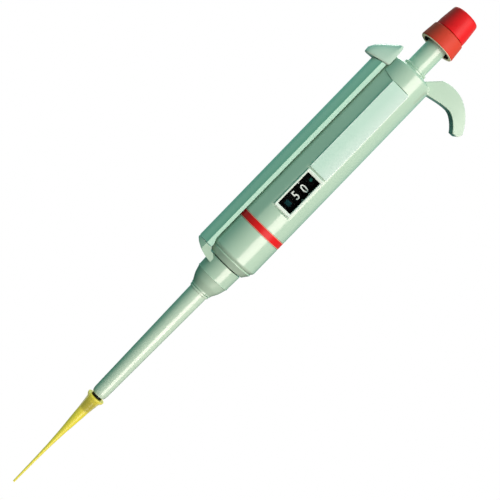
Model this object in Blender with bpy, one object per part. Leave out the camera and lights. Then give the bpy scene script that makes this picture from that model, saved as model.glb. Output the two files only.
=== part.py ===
"""Adjustable micropipette with a finger hook, a digit counter, a tip ejector and a disposable tip.

Metres, +Z up along the pipette's axis: push button up, tip down. The front, with the label and the window,
faces -Y. The ejector bar is at -X and the finger hook at +X. The origin is on the axis, level with the root
of the hook's underside.
"""

import math

import bmesh
import bpy
from mathutils import Vector

# Gaps and facets
GAP = 0.0003
RUN_GAP = 0.00035
OVERSHOOT = 0.001
LARGE_SIDES = 36
MIDDLE_SIDES = 24
SMALL_SIDES = 16
FINE_SIDES = 12
MERGE_DISTANCE = 1e-7
SMOOTH_ANGLE = math.radians(35)
BEVEL_ANGLE = math.radians(40)

# Handle housing
HANDLE_TOP_Z = 0.0017
HANDLE_LENGTH = 0.1061
HANDLE_FLARE = 0.00045
HANDLE_SHOULDER = 0.0015
FOOT_ROUND = 0.0016
FOOT_INSET = 0.0008
HANDLE_WALL = 0.0016
TOP_WALL = 0.0033

# Front flat with the label, the window and its bezel
FLAT_DEPTH = 0.00105
FLAT_TOP_DROP = 0.0088
LABEL_WIDTH = 0.0092
LABEL_THICKNESS = 0.0005
BEZEL_WIDTH = 0.0094
BEZEL_LENGTH = 0.0213
BEZEL_THICKNESS = 0.0007
BEZEL_PLUG_DEPTH = 0.0012
WINDOW_WIDTH = 0.0069
WINDOW_LENGTH = 0.0175
WINDOW_RISE = 0.03835
WINDOW_DEPTH = 0.0030
LENS_THICKNESS = 0.0006

# Side facet between the label and the ejector bar, which runs out towards the window
FACET_ANGLE = math.radians(226)
FACET_DEPTH = 0.00055
FACET_LENGTH = 0.076
FACET_TOP_DROP = 0.0081

# Coloured band
BAND_RISE = 0.0172
BAND_WIDTH = 0.0034
BAND_THICKNESS = 0.0005

# Finger hook: the outline's bend points, each (x, z), and how far the curves pull past them
HOOK_WIDTH = 0.0074
HOOK_EDGE = 0.0009
HOOK_ROOT_LOW_Z = -0.0006
HOOK_ROOT_RISE = 0.0010
HOOK_CREST = (0.0212, 0.0013)
HOOK_TIP_LOW = (0.0292, -0.0042)
HOOK_TIP_HIGH = (0.0328, -0.0017)
HOOK_TIP_ROUND = 0.0013
HOOK_SHOULDER = (0.0172, 0.0092)
HOOK_SLOPE_END = (0.0112, 0.0080)
HOOK_UNDER_PULL = (0.0046, 0.0035)
HOOK_FALL_PULL = (0.0028, 0.0017)
HOOK_OUTER_PULL = (0.0024, 0.0078)
HOOK_SHOULDER_PULL = 0.0019

# Top collar
COLLAR_RADIUS = 0.0055
COLLAR_HEIGHT = 0.0025
COLLAR_EDGE = 0.0004
COLLAR_FLANGE = 0.0015

# Plunger tube and push button
TUBE_RADIUS = 0.0047
TUBE_BORE = 0.0034
TUBE_IN_BUTTON = 0.0042
BUTTON_GAP = 0.0118
BUTTON_RADIUS = 0.0080
BUTTON_SKIRT_TOP_RADIUS = 0.0075
BUTTON_SKIRT_HEIGHT = 0.0073
BUTTON_RECESS_RADIUS = 0.0068
BUTTON_RECESS = 0.0014
BUTTON_RIM = 0.0006
CAP_RADIUS = 0.0071
CAP_TOP_RADIUS = 0.0062
CAP_HEIGHT = 0.0100
CAP_EDGE = 0.0014
CAP_FACE_RADIUS = 0.0040
CAP_DISH = 0.0004
CAP_FOOT = 0.0003
CAP_STEM = 0.0090

# Volume setting: one turn of the button is a tenth of the range
SCREW_PITCH = 0.00098
TURNS_UP = 5
TURNS_DOWN = 3
PRESS_TRAVEL = 0.0075
BLOWOUT_TRAVEL = 0.0026
THREAD_SLEEVE_LENGTH = 0.0345
THREAD_SLEEVE_WALL = 0.0006
SCREW_DROP = 0.0170
SCREW_LENGTH = 0.0102
SCREW_CHAMFER = 0.0006
THRUST_WASHER = 0.0015
STOP_FLANGE_RADIUS = 0.0064
STOP_FLANGE = 0.0020

# Keys between the plunger tube and what turns with it
KEY_WIDTH = 0.0012
KEY_DEPTH = 0.0006
KEY_LENGTH = 0.0040
KEY_DROP = 0.0035
KEYWAY_SIDE_GAP = 0.0003

# Counter
DRUM_COUNT = 4
DRUM_PITCH = 0.0044
DRUM_CHAMFER = 0.0002
COUNTER_RISE = 0.00065
COUNTER_SLEEVE_WALL = 0.0009
DRUM_WALL = 0.0019
COUNTER_SLEEVE_FLANGE = 0.0016
COUNTER_FLANGE_STEP = 0.0004
COUNTER_SPINE_WALL = 0.0007
COUNTER_PLATE = 0.0022
COUNTER_SPINE_ANGLE = math.radians(100)
COUNTER_SPINE_STEPS = 8

# Spacers that hold the counter in the bore
SPACER_WALL = 0.0006

# Piston drive
PLATE_THICKNESS = 0.0025
PLATE_ROOF = 0.0009
HUB_RADIUS = 0.0036
HUB_LENGTH = 0.0015
PISTON_RADIUS = 0.0018
PISTON_LENGTH = 0.0435
PISTON_NOSE = 0.0006
PISTON_GUIDE_GAP = 0.00035
BLOWOUT_PLATE = 0.0012
BLOWOUT_PLATE_RADIUS = 0.0052
RETAINER_THICKNESS = 0.0010

# Springs
PISTON_SPRING_RADIUS = 0.0065
PISTON_SPRING_WIRE = 0.0008
PISTON_SPRING_TURNS = 6
BLOWOUT_SPRING_RADIUS = 0.0040
BLOWOUT_SPRING_WIRE = 0.0007
BLOWOUT_SPRING_TURNS = 3
EJECTOR_SPRING_RADIUS = 0.00145
EJECTOR_SPRING_WIRE = 0.0005
EJECTOR_SPRING_TURNS = 8
EJECTOR_SPRING_STEPS = 8
COIL_STEPS = 10
COIL_END_PITCH = 1.25

# Coupling nut under the handle
NUT_HEIGHT = 0.0032
NUT_BOTTOM_RADIUS = 0.0087
NUT_SPIGOT_LENGTH = 0.0070
NUT_SPIGOT_WALL = 0.0012
NUT_EDGE = 0.0002
NUT_FLOOR = 0.0019

# Shaft and its seals
SHAFT_FLANGE = 0.0015
SHAFT_SPIGOT_RADIUS = 0.0057
SHAFT_SPIGOT_LENGTH = 0.0037
SHAFT_TAPER_LENGTH = 0.0075
SHAFT_RADIUS = 0.0027
SHAFT_LENGTH = 0.0718
SHAFT_PIN_RADIUS = 0.0016
SHAFT_PIN_LENGTH = 0.0060
SHAFT_BORE_RADIUS = 0.0021
SHAFT_BORE_DEPTH = 0.0360
SHAFT_BORE_TAPER = 0.0010
AIR_BORE_RADIUS = 0.0008
SEAL_POCKET_RADIUS = 0.0042
SEAL_HEIGHT = 0.0016
O_RING_WIRE = 0.0014

# Tip cone
CONE_RADIUS = 0.00245
CONE_END_RADIUS = 0.00180
CONE_LENGTH = 0.0183
CONE_TAPER_LENGTH = 0.0086
CONE_EDGE = 0.0003

# Ejector head and tube
HEAD_DROP = 0.00065
NECK_RADIUS = 0.00815
NECK_END_RADIUS = 0.0079
NECK_LENGTH = 0.0077
HEAD_CONE_MIDDLE_RADIUS = 0.0069
HEAD_CONE_MIDDLE_DROP = 0.0034
HEAD_CONE_END_RADIUS = 0.00515
HEAD_CONE_LENGTH = 0.0064
HEAD_LIP = 0.0007
HEAD_WALL = 0.0015
HEAD_BORE_TAPER = 0.0002
SLEEVE_TOP_RADIUS = 0.00440
SLEEVE_BOTTOM_RADIUS = 0.00345
SLEEVE_LENGTH = 0.0618
SLEEVE_BORE = 0.00305
SLEEVE_RING = 0.0008
SLEEVE_RING_RADIUS = 0.00490
SLEEVE_RING_FALL = 0.0002
SLEEVE_SPIGOT_RADIUS = 0.00405
SLEEVE_SPIGOT_LENGTH = 0.0048
SLEEVE_LIP_RADIUS = 0.00285
SLEEVE_LIP_LENGTH = 0.0012
SLEEVE_LIP_WALL = 0.0002
SLEEVE_LIP_TAPER = 0.0003
SLEEVE_CHAMFER = 0.0016
SLEEVE_CHAMFER_FOOT = 0.00064
SLEEVE_CHAMFER_INSET = 0.0002

# Ejector bar: how far its shoulder and its outer side stand off the handle
BAR_SHOULDER = 0.0014
BAR_STANDOFF = 0.0053
BAR_HALF_WIDTH = 0.0056
BAR_WALL = 0.0014
BAR_SLANT = 0.64
BAR_NOSE = 0.4
BAR_TOP_DROP = 0.0059
BAR_BOTTOM_DROP = 0.0023
BAR_FOOT_BLOCK = 0.0050

# Ejector guide on the handle's side
GUIDE_STANDOFF = 0.0014
GUIDE_ROD_RADIUS = 0.0007
GUIDE_GROOVE_DEPTH = 0.0007
GUIDE_GROOVE_HALF_WIDTH = 0.0020
LUG_REACH = 0.0017
LUG_HALF_WIDTH = 0.0018
LUG_HEIGHT = 0.0023
UPPER_LUG_DROP = 0.0209
RIB_HEIGHT = 0.0020
EJECTOR_SPRING_LENGTH = 0.0276

# Thumb key on top of the bar
KEY_REACH = 0.0092
KEY_HALF_WIDTH = 0.0061
KEY_HEIGHT = 0.0098
KEY_SLOPE = 0.2
# The key's levels: share of its height, of its reach and of its half width
KEY_LEVELS = (
    (0.00, 0.98, 0.96),
    (0.06, 1.02, 1.00),
    (0.26, 1.03, 1.00),
    (0.50, 0.87, 0.98),
    (0.72, 0.60, 0.95),
    (0.90, 0.30, 0.88),
    (1.00, 0.16, 0.78),
)
TONGUE_LENGTH = 0.0045
TONGUE_HALF_WIDTH = 0.0038
KEY_PIN_RADIUS = 0.0006
KEY_PIN_INSET = 0.0004

# Arm of the ejector head
ARM_EDGE = 0.0005
ARM_END_X = -0.0044
ARM_THICKNESS = 0.0031
ARM_OUTER_INSET = 0.0002
ARM_STEP_WIDTH = 0.0008
ARM_POCKET_DEPTH = 0.0040
# Places on the arm's underside, each (outwards, up) from its end, its neck, its step and its outer side
ARM_END_TOP = (0.0010, 0.0018)
ARM_END_LIFT = 0.0003
ARM_END_FOOT = (0.0006, 0.0005)
ARM_NECK_REACH = 0.0014
ARM_STEP_FOOT = (0.0005, 0.0010)
ARM_OUTER_FOOT = (0.0012, 0.0024)
ARM_OUTER_HEIGHT = 0.0009
ARM_SCREW_RADIUS = 0.0007
ARM_SCREW_HEAD_RADIUS = 0.0013
ARM_SCREW_HEAD = 0.0009
ARM_SCREW_GRIP = 0.0035
ARM_SCREW_INSET = 0.0016
ARM_SCREW_FLOOR = 0.0010

# Disposable tip
CONE_SHOWN = 0.0013
TIP_LENGTH = 0.0510
TIP_COLLAR_RADIUS = 0.0042
TIP_COLLAR_HEIGHT = 0.0010
TIP_WALL = 0.00035
TIP_END_RADIUS = 0.00045
TIP_ORIFICE_RADIUS = 0.00022
TIP_COLLAR_TAPER = 0.0002
TIP_THINNING = 0.00008
# Depth below the cone's end and outer radius, down the tip's visible taper
TIP_TAPER = ((0.0050, 0.00205), (0.0133, 0.00132), (0.0217, 0.00085), (0.0300, 0.00064))

# Heights that follow from the sizes above
handle_bottom_z = HANDLE_TOP_Z - HANDLE_LENGTH
window_z = handle_bottom_z + WINDOW_RISE
band_z = handle_bottom_z + BAND_RISE
collar_flange_top_z = HANDLE_TOP_Z - TOP_WALL - GAP
thread_sleeve_top_z = collar_flange_top_z - COLLAR_FLANGE - GAP
thread_sleeve_bottom_z = thread_sleeve_top_z - THREAD_SLEEVE_LENGTH
lift_up = SCREW_PITCH * TURNS_UP
lift_down = SCREW_PITCH * TURNS_DOWN
collar_top_z = HANDLE_TOP_Z + COLLAR_HEIGHT
button_bottom_z = collar_top_z + BUTTON_GAP
button_top_z = button_bottom_z + BUTTON_SKIRT_HEIGHT
screw_top_z = thread_sleeve_top_z - SCREW_DROP
screw_bottom_z = screw_top_z - SCREW_LENGTH
washer_top_z = screw_bottom_z - GAP
washer_bottom_z = washer_top_z - THRUST_WASHER
stop_flange_top_z = washer_bottom_z - GAP
counter_z = window_z + COUNTER_RISE
drum_stack_top_z = counter_z + DRUM_COUNT * DRUM_PITCH / 2 - GAP / 2
drum_stack_bottom_z = counter_z - DRUM_COUNT * DRUM_PITCH / 2 + GAP / 2
counter_frame_top_z = drum_stack_top_z + GAP + COUNTER_PLATE
counter_frame_bottom_z = drum_stack_bottom_z - 2 * GAP - COUNTER_SLEEVE_FLANGE - COUNTER_PLATE
plate_top_z = counter_frame_bottom_z - 2 * GAP - lift_up
plate_bottom_z = plate_top_z - PLATE_THICKNESS
hub_bottom_z = plate_bottom_z - HUB_LENGTH
tube_bottom_z = plate_top_z + GAP
blowout_top_z = hub_bottom_z - PRESS_TRAVEL - lift_down + BLOWOUT_TRAVEL - GAP
blowout_bottom_z = blowout_top_z - BLOWOUT_PLATE
nut_top_z = handle_bottom_z - GAP
nut_bottom_z = nut_top_z - NUT_HEIGHT
nut_spigot_top_z = nut_top_z + NUT_SPIGOT_LENGTH
shaft_flange_bottom_z = nut_bottom_z + NUT_FLOOR + GAP
shaft_top_z = shaft_flange_bottom_z + SHAFT_FLANGE
retainer_bottom_z = shaft_top_z + GAP
retainer_top_z = retainer_bottom_z + RETAINER_THICKNESS
seal_top_z = shaft_top_z - GAP / 2
seal_bottom_z = seal_top_z - SEAL_HEIGHT
o_ring_z = seal_bottom_z - GAP - O_RING_WIRE / 2
seal_floor_z = o_ring_z - O_RING_WIRE / 2 - GAP
shaft_taper_top_z = shaft_flange_bottom_z - SHAFT_SPIGOT_LENGTH
shaft_taper_bottom_z = shaft_taper_top_z - SHAFT_TAPER_LENGTH
shaft_pin_top_z = shaft_top_z - SHAFT_LENGTH
shaft_end_z = shaft_pin_top_z - SHAFT_PIN_LENGTH
cone_top_z = shaft_pin_top_z - GAP
cone_end_z = cone_top_z - CONE_LENGTH
cone_taper_z = cone_end_z + CONE_TAPER_LENGTH
head_top_z = nut_bottom_z - HEAD_DROP
neck_bottom_z = head_top_z - NECK_LENGTH
head_cone_end_z = neck_bottom_z - HEAD_CONE_LENGTH
head_bottom_z = head_cone_end_z - HEAD_LIP
sleeve_ring_top_z = head_bottom_z - GAP
sleeve_spigot_top_z = sleeve_ring_top_z + SLEEVE_SPIGOT_LENGTH
sleeve_bottom_z = sleeve_ring_top_z - SLEEVE_LENGTH
tip_top_z = sleeve_bottom_z - CONE_SHOWN
tip_end_z = tip_top_z - TIP_LENGTH
bar_top_z = HANDLE_TOP_Z - BAR_TOP_DROP
bar_bottom_z = handle_bottom_z - BAR_BOTTOM_DROP
upper_lug_top_z = HANDLE_TOP_Z - UPPER_LUG_DROP
upper_lug_bottom_z = upper_lug_top_z - LUG_HEIGHT
rib_top_z = upper_lug_bottom_z - GAP
rib_bottom_z = rib_top_z - RIB_HEIGHT
ejector_spring_top_z = rib_bottom_z - GAP
ejector_spring_bottom_z = ejector_spring_top_z - EJECTOR_SPRING_LENGTH
lower_lug_top_z = ejector_spring_bottom_z - GAP
lower_lug_bottom_z = lower_lug_top_z - LUG_HEIGHT

# Places across the axis that follow from the sizes above
tube_clear_radius = TUBE_RADIUS + GAP
counter_sleeve_radius = tube_clear_radius + COUNTER_SLEEVE_WALL
drum_radius = counter_sleeve_radius + GAP + DRUM_WALL
insert_radius = drum_radius + GAP + COUNTER_SPINE_WALL
handle_bore = insert_radius + GAP
handle_top_radius = handle_bore + HANDLE_WALL
handle_bottom_radius = handle_top_radius + HANDLE_FLARE
foot_radius = handle_bottom_radius - FOOT_INSET
sleeve_inner_radius = insert_radius - THREAD_SLEEVE_WALL
spacer_inner_radius = insert_radius - SPACER_WALL
nut_spigot_bore = insert_radius - NUT_SPIGOT_WALL
shaft_flange_radius = nut_spigot_bore - GAP
bar_shoulder_x = handle_top_radius + BAR_SHOULDER
bar_outer_x = handle_top_radius + BAR_STANDOFF
guide_x = -(handle_top_radius + GUIDE_STANDOFF)
key_tip_radius = TUBE_RADIUS - KEY_DEPTH
arm_screw_x = -(bar_outer_x - BAR_WALL - ARM_SCREW_INSET)


def handle_radius(z):
    """The handle's outer radius at a height."""
    share = (HANDLE_TOP_Z - z) / HANDLE_LENGTH
    return handle_top_radius + (handle_bottom_radius - handle_top_radius) * min(max(share, 0), 1)


def cone_radius(z):
    """The tip cone's outer radius at a height."""
    share = (cone_taper_z - z) / CONE_TAPER_LENGTH
    return CONE_RADIUS + (CONE_END_RADIUS - CONE_RADIUS) * min(max(share, 0), 1)


flat_y = -(handle_radius(window_z) - FLAT_DEPTH)


# Materials
def plastic(name, colour, roughness=0.3, metallic=0.0):
    """A Principled material of one colour."""
    made = bpy.data.materials.new(name)
    made.use_nodes = True
    shader = made.node_tree.nodes["Principled BSDF"]
    shader.inputs["Base Color"].default_value = (*colour, 1.0)
    shader.inputs["Roughness"].default_value = roughness
    shader.inputs["Metallic"].default_value = metallic
    made.diffuse_color = (*colour, 1.0)
    return made


def make_materials():
    """All materials by name."""
    return {
        "shell": plastic("shell_plastic", (0.50, 0.68, 0.56), 0.28),
        "inner": plastic("inner_plastic", (0.75, 0.74, 0.70), 0.45),
        "dark": plastic("dark_plastic", (0.02, 0.02, 0.02), 0.35),
        "red": plastic("red_band", (0.75, 0.02, 0.03), 0.3),
        "button": plastic("button_plastic", (0.82, 0.09, 0.04), 0.42),
        "cap": plastic("cap_plastic", (0.78, 0.01, 0.02), 0.3),
        "clear": plastic("clear_lens", (0.80, 0.85, 0.85), 0.05),
        "tip": plastic("tip_plastic", (0.80, 0.72, 0.15), 0.2),
        "steel": plastic("spring_steel", (0.55, 0.55, 0.56), 0.3, 1.0),
        "brass": plastic("thread_brass", (0.70, 0.52, 0.25), 0.35, 1.0),
        "rubber": plastic("seal_rubber", (0.03, 0.03, 0.03), 0.7),
    }


# Modelling helpers
def add_object(name, bm, material):
    """An object from a bmesh, its faces turned outwards and round parts shaded smooth."""
    bmesh.ops.remove_doubles(bm, verts=bm.verts, dist=MERGE_DISTANCE)
    bmesh.ops.recalc_face_normals(bm, faces=bm.faces)
    mesh = bpy.data.meshes.new(name)
    bm.to_mesh(mesh)
    bm.free()
    mesh.shade_smooth()
    mesh.set_sharp_from_angle(angle=SMOOTH_ANGLE)
    made = bpy.data.objects.new(name, mesh)
    bpy.context.scene.collection.objects.link(made)
    if material is not None:
        mesh.materials.append(material)
    return made


def turned(name, profile, material=None, sides=MIDDLE_SIDES, centre=(0.0, 0.0)):
    """A closed section of (radius, z) points, spun about a vertical line. Points on it close the section."""
    bm = bmesh.new()
    points = [bm.verts.new((radius, 0, z)) for radius, z in profile]
    for start, end in zip(points, points[1:] + points[:1]):
        if start.co.x > 0 or end.co.x > 0:
            bm.edges.new((start, end))
    bmesh.ops.spin(
        bm,
        geom=bm.verts[:] + bm.edges[:],
        cent=(0, 0, 0),
        axis=(0, 0, 1),
        angle=math.tau,
        steps=sides,
        use_merge=True,
    )
    bmesh.ops.translate(bm, verts=bm.verts, vec=(*centre, 0))
    return add_object(name, bm, material)


def tube(name, inner, outer, low, high, material=None, sides=MIDDLE_SIDES, centre=(0.0, 0.0)):
    """A plain ring or tube."""
    profile = [(outer, high), (outer, low), (inner, low), (inner, high)]
    return turned(name, profile, material, sides, centre)


def rod(name, radius, low, high, material=None, sides=SMALL_SIDES, centre=(0.0, 0.0)):
    """A plain vertical rod."""
    profile = [(0, high), (radius, high), (radius, low), (0, low)]
    return turned(name, profile, material, sides, centre)


def block(name, low, high, material=None):
    """A box from its lowest to its highest corner."""
    bm = bmesh.new()
    bmesh.ops.create_cube(bm, size=1)
    size = Vector(high) - Vector(low)
    middle = (Vector(high) + Vector(low)) / 2
    bmesh.ops.scale(bm, vec=size, verts=bm.verts)
    bmesh.ops.translate(bm, vec=middle, verts=bm.verts)
    return add_object(name, bm, material)


def upright_prism(name, outline, low, high, material=None):
    """An outline of (x, y) points, extruded from one height to another."""
    bm = bmesh.new()
    face = bm.faces.new([bm.verts.new((x, y, low)) for x, y in outline])
    raised = bmesh.ops.extrude_face_region(bm, geom=[face])
    top = [part for part in raised["geom"] if isinstance(part, bmesh.types.BMVert)]
    bmesh.ops.translate(bm, verts=top, vec=(0, 0, high - low))
    return add_object(name, bm, material)


def side_prism(name, outline, half_width, material=None):
    """An outline of (x, z) points, extruded along Y to both sides of the middle plane."""
    bm = bmesh.new()
    face = bm.faces.new([bm.verts.new((x, -half_width, z)) for x, z in outline])
    moved = bmesh.ops.extrude_face_region(bm, geom=[face])
    back = [part for part in moved["geom"] if isinstance(part, bmesh.types.BMVert)]
    bmesh.ops.translate(bm, verts=back, vec=(0, 2 * half_width, 0))
    return add_object(name, bm, material)


def boolean(target, tool, operation):
    """A Boolean by a guide object, which is hidden and left out of the model."""
    tool.hide_render = True
    tool.display_type = "WIRE"
    step = target.modifiers.new(tool.name, "BOOLEAN")
    step.operation = operation
    step.solver = "EXACT"
    step.object = tool
    return target


def cut(target, tool):
    """Takes a guide's shape out of an object."""
    return boolean(target, tool, "DIFFERENCE")


def join(target, tool):
    """Adds a guide's shape to an object."""
    return boolean(target, tool, "UNION")


def rounded(target, width, segments=2):
    """A bevel on an object's sharp edges."""
    step = target.modifiers.new("rounded_edges", "BEVEL")
    step.width = width
    step.segments = segments
    step.limit_method = "ANGLE"
    step.angle_limit = BEVEL_ANGLE
    return target


def arc(centre, radius, start, end, steps):
    """Points on a circle, angles in degrees."""
    found = []
    for index in range(steps + 1):
        angle = math.radians(start + (end - start) * index / steps)
        found.append((centre[0] + radius * math.cos(angle), centre[1] + radius * math.sin(angle)))
    return found


def bend(start, pull_start, pull_end, end, steps=6):
    """Points on a cubic Bezier curve, without its end point."""
    found = []
    for index in range(steps):
        t = index / steps
        weights = ((1 - t) ** 3, 3 * t * (1 - t) ** 2, 3 * t * t * (1 - t), t**3)
        corners = (start, pull_start, pull_end, end)
        found.append(tuple(sum(w * c[k] for w, c in zip(weights, corners)) for k in (0, 1)))
    return found


def envelope(name, gap, low, high):
    """The handle's outer shape with a gap round it, as a guide."""
    heights = [high, min(HANDLE_TOP_Z, high), max(handle_bottom_z, low), low]
    profile = [(0, high)]
    for z in heights:
        point = (handle_radius(z) + gap, z)
        if point != profile[-1]:
            profile.append(point)
    profile.append((0, low))
    return turned(name, profile, None, LARGE_SIDES)


def coil(name, radius, wire, low, high, turns, material, centre=(0.0, 0.0), per_turn=COIL_STEPS):
    """A compression spring with closed end turns, between two heights."""
    end_rise = wire * COIL_END_PITCH
    start_z = low + wire / 2
    active_rise = high - low - wire - 2 * end_rise
    steps = turns * per_turn
    made = bpy.data.curves.new(name, "CURVE")
    made.dimensions = "3D"
    made.bevel_depth = wire / 2
    made.bevel_resolution = 1
    made.use_fill_caps = True
    spline = made.splines.new("POLY")
    spline.points.add(steps)
    for index in range(steps + 1):
        turn = index / per_turn
        closed = min(turn, 1) + max(turn - (turns - 1), 0)
        active = min(max(turn - 1, 0), turns - 2) / (turns - 2)
        z = start_z + closed * end_rise + active * active_rise
        angle = math.tau * turn
        x = centre[0] + radius * math.cos(angle)
        y = centre[1] + radius * math.sin(angle)
        spline.points[index].co = (x, y, z, 1)
    made.materials.append(material)
    placed = bpy.data.objects.new(name, made)
    bpy.context.scene.collection.objects.link(placed)
    return placed


# Handle
def handle_profile():
    """Section of the bare housing: shoulder, groove for the band, open bottom and bore."""
    groove_top = band_z + BAND_WIDTH / 2 + GAP
    groove_bottom = band_z - BAND_WIDTH / 2 - GAP
    groove_radius = handle_radius(groove_top) - BAND_THICKNESS - GAP
    shoulder_centre = (handle_top_radius - HANDLE_SHOULDER, HANDLE_TOP_Z - HANDLE_SHOULDER)
    hole = COLLAR_RADIUS + GAP
    return [
        (hole, HANDLE_TOP_Z),
        *arc(shoulder_centre, HANDLE_SHOULDER, 90, 0, 4),
        (handle_radius(groove_top), groove_top),
        (groove_radius, groove_top),
        (groove_radius, groove_bottom),
        (handle_radius(groove_bottom), groove_bottom),
        (handle_bottom_radius, handle_bottom_z + FOOT_ROUND),
        (handle_bottom_radius - FOOT_INSET / 3, handle_bottom_z + FOOT_ROUND / 2),
        (foot_radius, handle_bottom_z),
        (handle_bore, handle_bottom_z),
        (handle_bore, HANDLE_TOP_Z - TOP_WALL),
        (hole, HANDLE_TOP_Z - TOP_WALL),
    ]


def hook_outline():
    """The hook's side outline, from the handle's wall out along the underside and back over the top."""
    wall_x = (handle_top_radius + handle_bore) / 2
    root_low = (wall_x, HOOK_ROOT_LOW_Z)
    root_high = (COLLAR_RADIUS + 2 * GAP, HANDLE_TOP_Z + HOOK_ROOT_RISE)
    crest_x, crest_z = HOOK_CREST
    low_x, low_z = HOOK_TIP_LOW
    high_x, high_z = HOOK_TIP_HIGH
    shoulder_x, shoulder_z = HOOK_SHOULDER
    under_in, under_out = HOOK_UNDER_PULL
    fall_in, fall_out = HOOK_FALL_PULL
    outer_up, outer_in = HOOK_OUTER_PULL
    inside_z = HANDLE_TOP_Z - TOP_WALL / 2
    under_pull = (wall_x + under_in, HOOK_ROOT_LOW_Z + HOOK_EDGE)
    crest_pull = (crest_x - under_out, crest_z)
    fall_pull = (crest_x + fall_in, crest_z)
    tip_pull = (low_x - fall_out, low_z + outer_up)
    outer_pull = (high_x - outer_up, high_z + 2 * outer_up)
    top_pull = (shoulder_x + outer_in, shoulder_z)
    slope_pull = (shoulder_x - HOOK_SHOULDER_PULL, shoulder_z)
    slope_x, slope_z = HOOK_SLOPE_END
    bend_pull = (slope_x + HOOK_SHOULDER_PULL, slope_z + HOOK_SHOULDER_PULL / 2)
    return [
        *bend(root_low, under_pull, crest_pull, HOOK_CREST),
        *bend(HOOK_CREST, fall_pull, tip_pull, HOOK_TIP_LOW),
        HOOK_TIP_LOW,
        (low_x + HOOK_TIP_ROUND, low_z),
        (high_x - HOOK_TIP_ROUND / 2, high_z - HOOK_TIP_ROUND),
        *bend(HOOK_TIP_HIGH, outer_pull, top_pull, HOOK_SHOULDER),
        *bend(HOOK_SHOULDER, slope_pull, bend_pull, HOOK_SLOPE_END, 3),
        HOOK_SLOPE_END,
        root_high,
        (root_high[0], inside_z),
        (wall_x, inside_z),
    ]


def handle_housing(paint):
    """The moulded handle: tube, hook, flats, window opening and the lugs of the ejector guide."""
    housing = turned("handle_housing", handle_profile(), paint["shell"], LARGE_SIDES)
    outside = handle_bottom_radius + OVERSHOOT
    flat_top = HANDLE_TOP_Z - FLAT_TOP_DROP
    flat_bottom = window_z - BEZEL_LENGTH / 2 - GAP
    cut(housing, block("guide_front_flat", (-outside, -outside, flat_bottom), (outside, flat_y, flat_top)))

    facet = block("guide_side_facet", (0, -outside, -FACET_LENGTH), (outside, outside, 0))
    tilt = math.atan2(FACET_DEPTH, FACET_LENGTH)
    facet.location = (
        math.cos(FACET_ANGLE) * (handle_top_radius - FACET_DEPTH),
        math.sin(FACET_ANGLE) * (handle_top_radius - FACET_DEPTH),
        HANDLE_TOP_Z - FACET_TOP_DROP,
    )
    facet.rotation_euler = (0, -tilt, FACET_ANGLE)
    cut(housing, facet)

    half_hole = BEZEL_WIDTH / 2 - BEZEL_THICKNESS + GAP
    half_hole_length = BEZEL_LENGTH / 2 - BEZEL_THICKNESS + GAP
    inside_y = flat_y + WINDOW_DEPTH
    low = (-half_hole, -outside, window_z - half_hole_length)
    high = (half_hole, inside_y, window_z + half_hole_length)
    cut(housing, block("guide_window_opening", low, high))

    groove_x = -(handle_top_radius - GUIDE_GROOVE_DEPTH)
    low = (-outside, -GUIDE_GROOVE_HALF_WIDTH, lower_lug_bottom_z)
    high = (groove_x, GUIDE_GROOVE_HALF_WIDTH, upper_lug_top_z)
    cut(housing, block("guide_ejector_groove", low, high))
    lug_root_x = -(handle_bore + HANDLE_WALL / 4)
    for name, top in (("guide_upper_lug", upper_lug_top_z), ("guide_lower_lug", lower_lug_top_z)):
        low = (guide_x - LUG_REACH, -LUG_HALF_WIDTH, top - LUG_HEIGHT)
        join(housing, block(name, low, (lug_root_x, LUG_HALF_WIDTH, top)))
    hole = rod(
        "guide_rod_hole",
        GUIDE_ROD_RADIUS + GAP,
        lower_lug_bottom_z - OVERSHOOT,
        upper_lug_top_z + OVERSHOOT,
        centre=(guide_x, 0),
    )
    cut(housing, hole)

    hook = side_prism("guide_hook", hook_outline(), HOOK_WIDTH / 2)
    rounded(hook, HOOK_EDGE)
    join(housing, hook)
    hole = rod(
        "guide_collar_hole",
        COLLAR_RADIUS + GAP,
        HANDLE_TOP_Z - TOP_WALL - OVERSHOOT,
        HOOK_SHOULDER[1] + OVERSHOOT,
        sides=LARGE_SIDES,
    )
    cut(housing, hole)
    return housing


def top_collar(paint):
    """The bush that guides the plunger tube. Its flange is held under the top wall."""
    flange_bottom = collar_flange_top_z - COLLAR_FLANGE
    profile = [
        (tube_clear_radius, collar_top_z),
        (COLLAR_RADIUS - COLLAR_EDGE, collar_top_z),
        (COLLAR_RADIUS, collar_top_z - COLLAR_EDGE),
        (COLLAR_RADIUS, collar_flange_top_z),
        (sleeve_inner_radius, collar_flange_top_z),
        (sleeve_inner_radius, flange_bottom),
        (tube_clear_radius, flange_bottom),
    ]
    return turned("top_collar", profile, paint["shell"])


def label_plate(paint):
    """The bare label panel on the front flat, above the window."""
    top = HANDLE_TOP_Z - FLAT_TOP_DROP - GAP
    bottom = window_z + BEZEL_LENGTH / 2 + GAP
    back = flat_y - GAP
    low = (-LABEL_WIDTH / 2, back - LABEL_THICKNESS, bottom)
    plate = block("label_plate", low, (LABEL_WIDTH / 2, back, top), paint["shell"])
    return rounded(plate, LABEL_THICKNESS / 4, 1)


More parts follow.
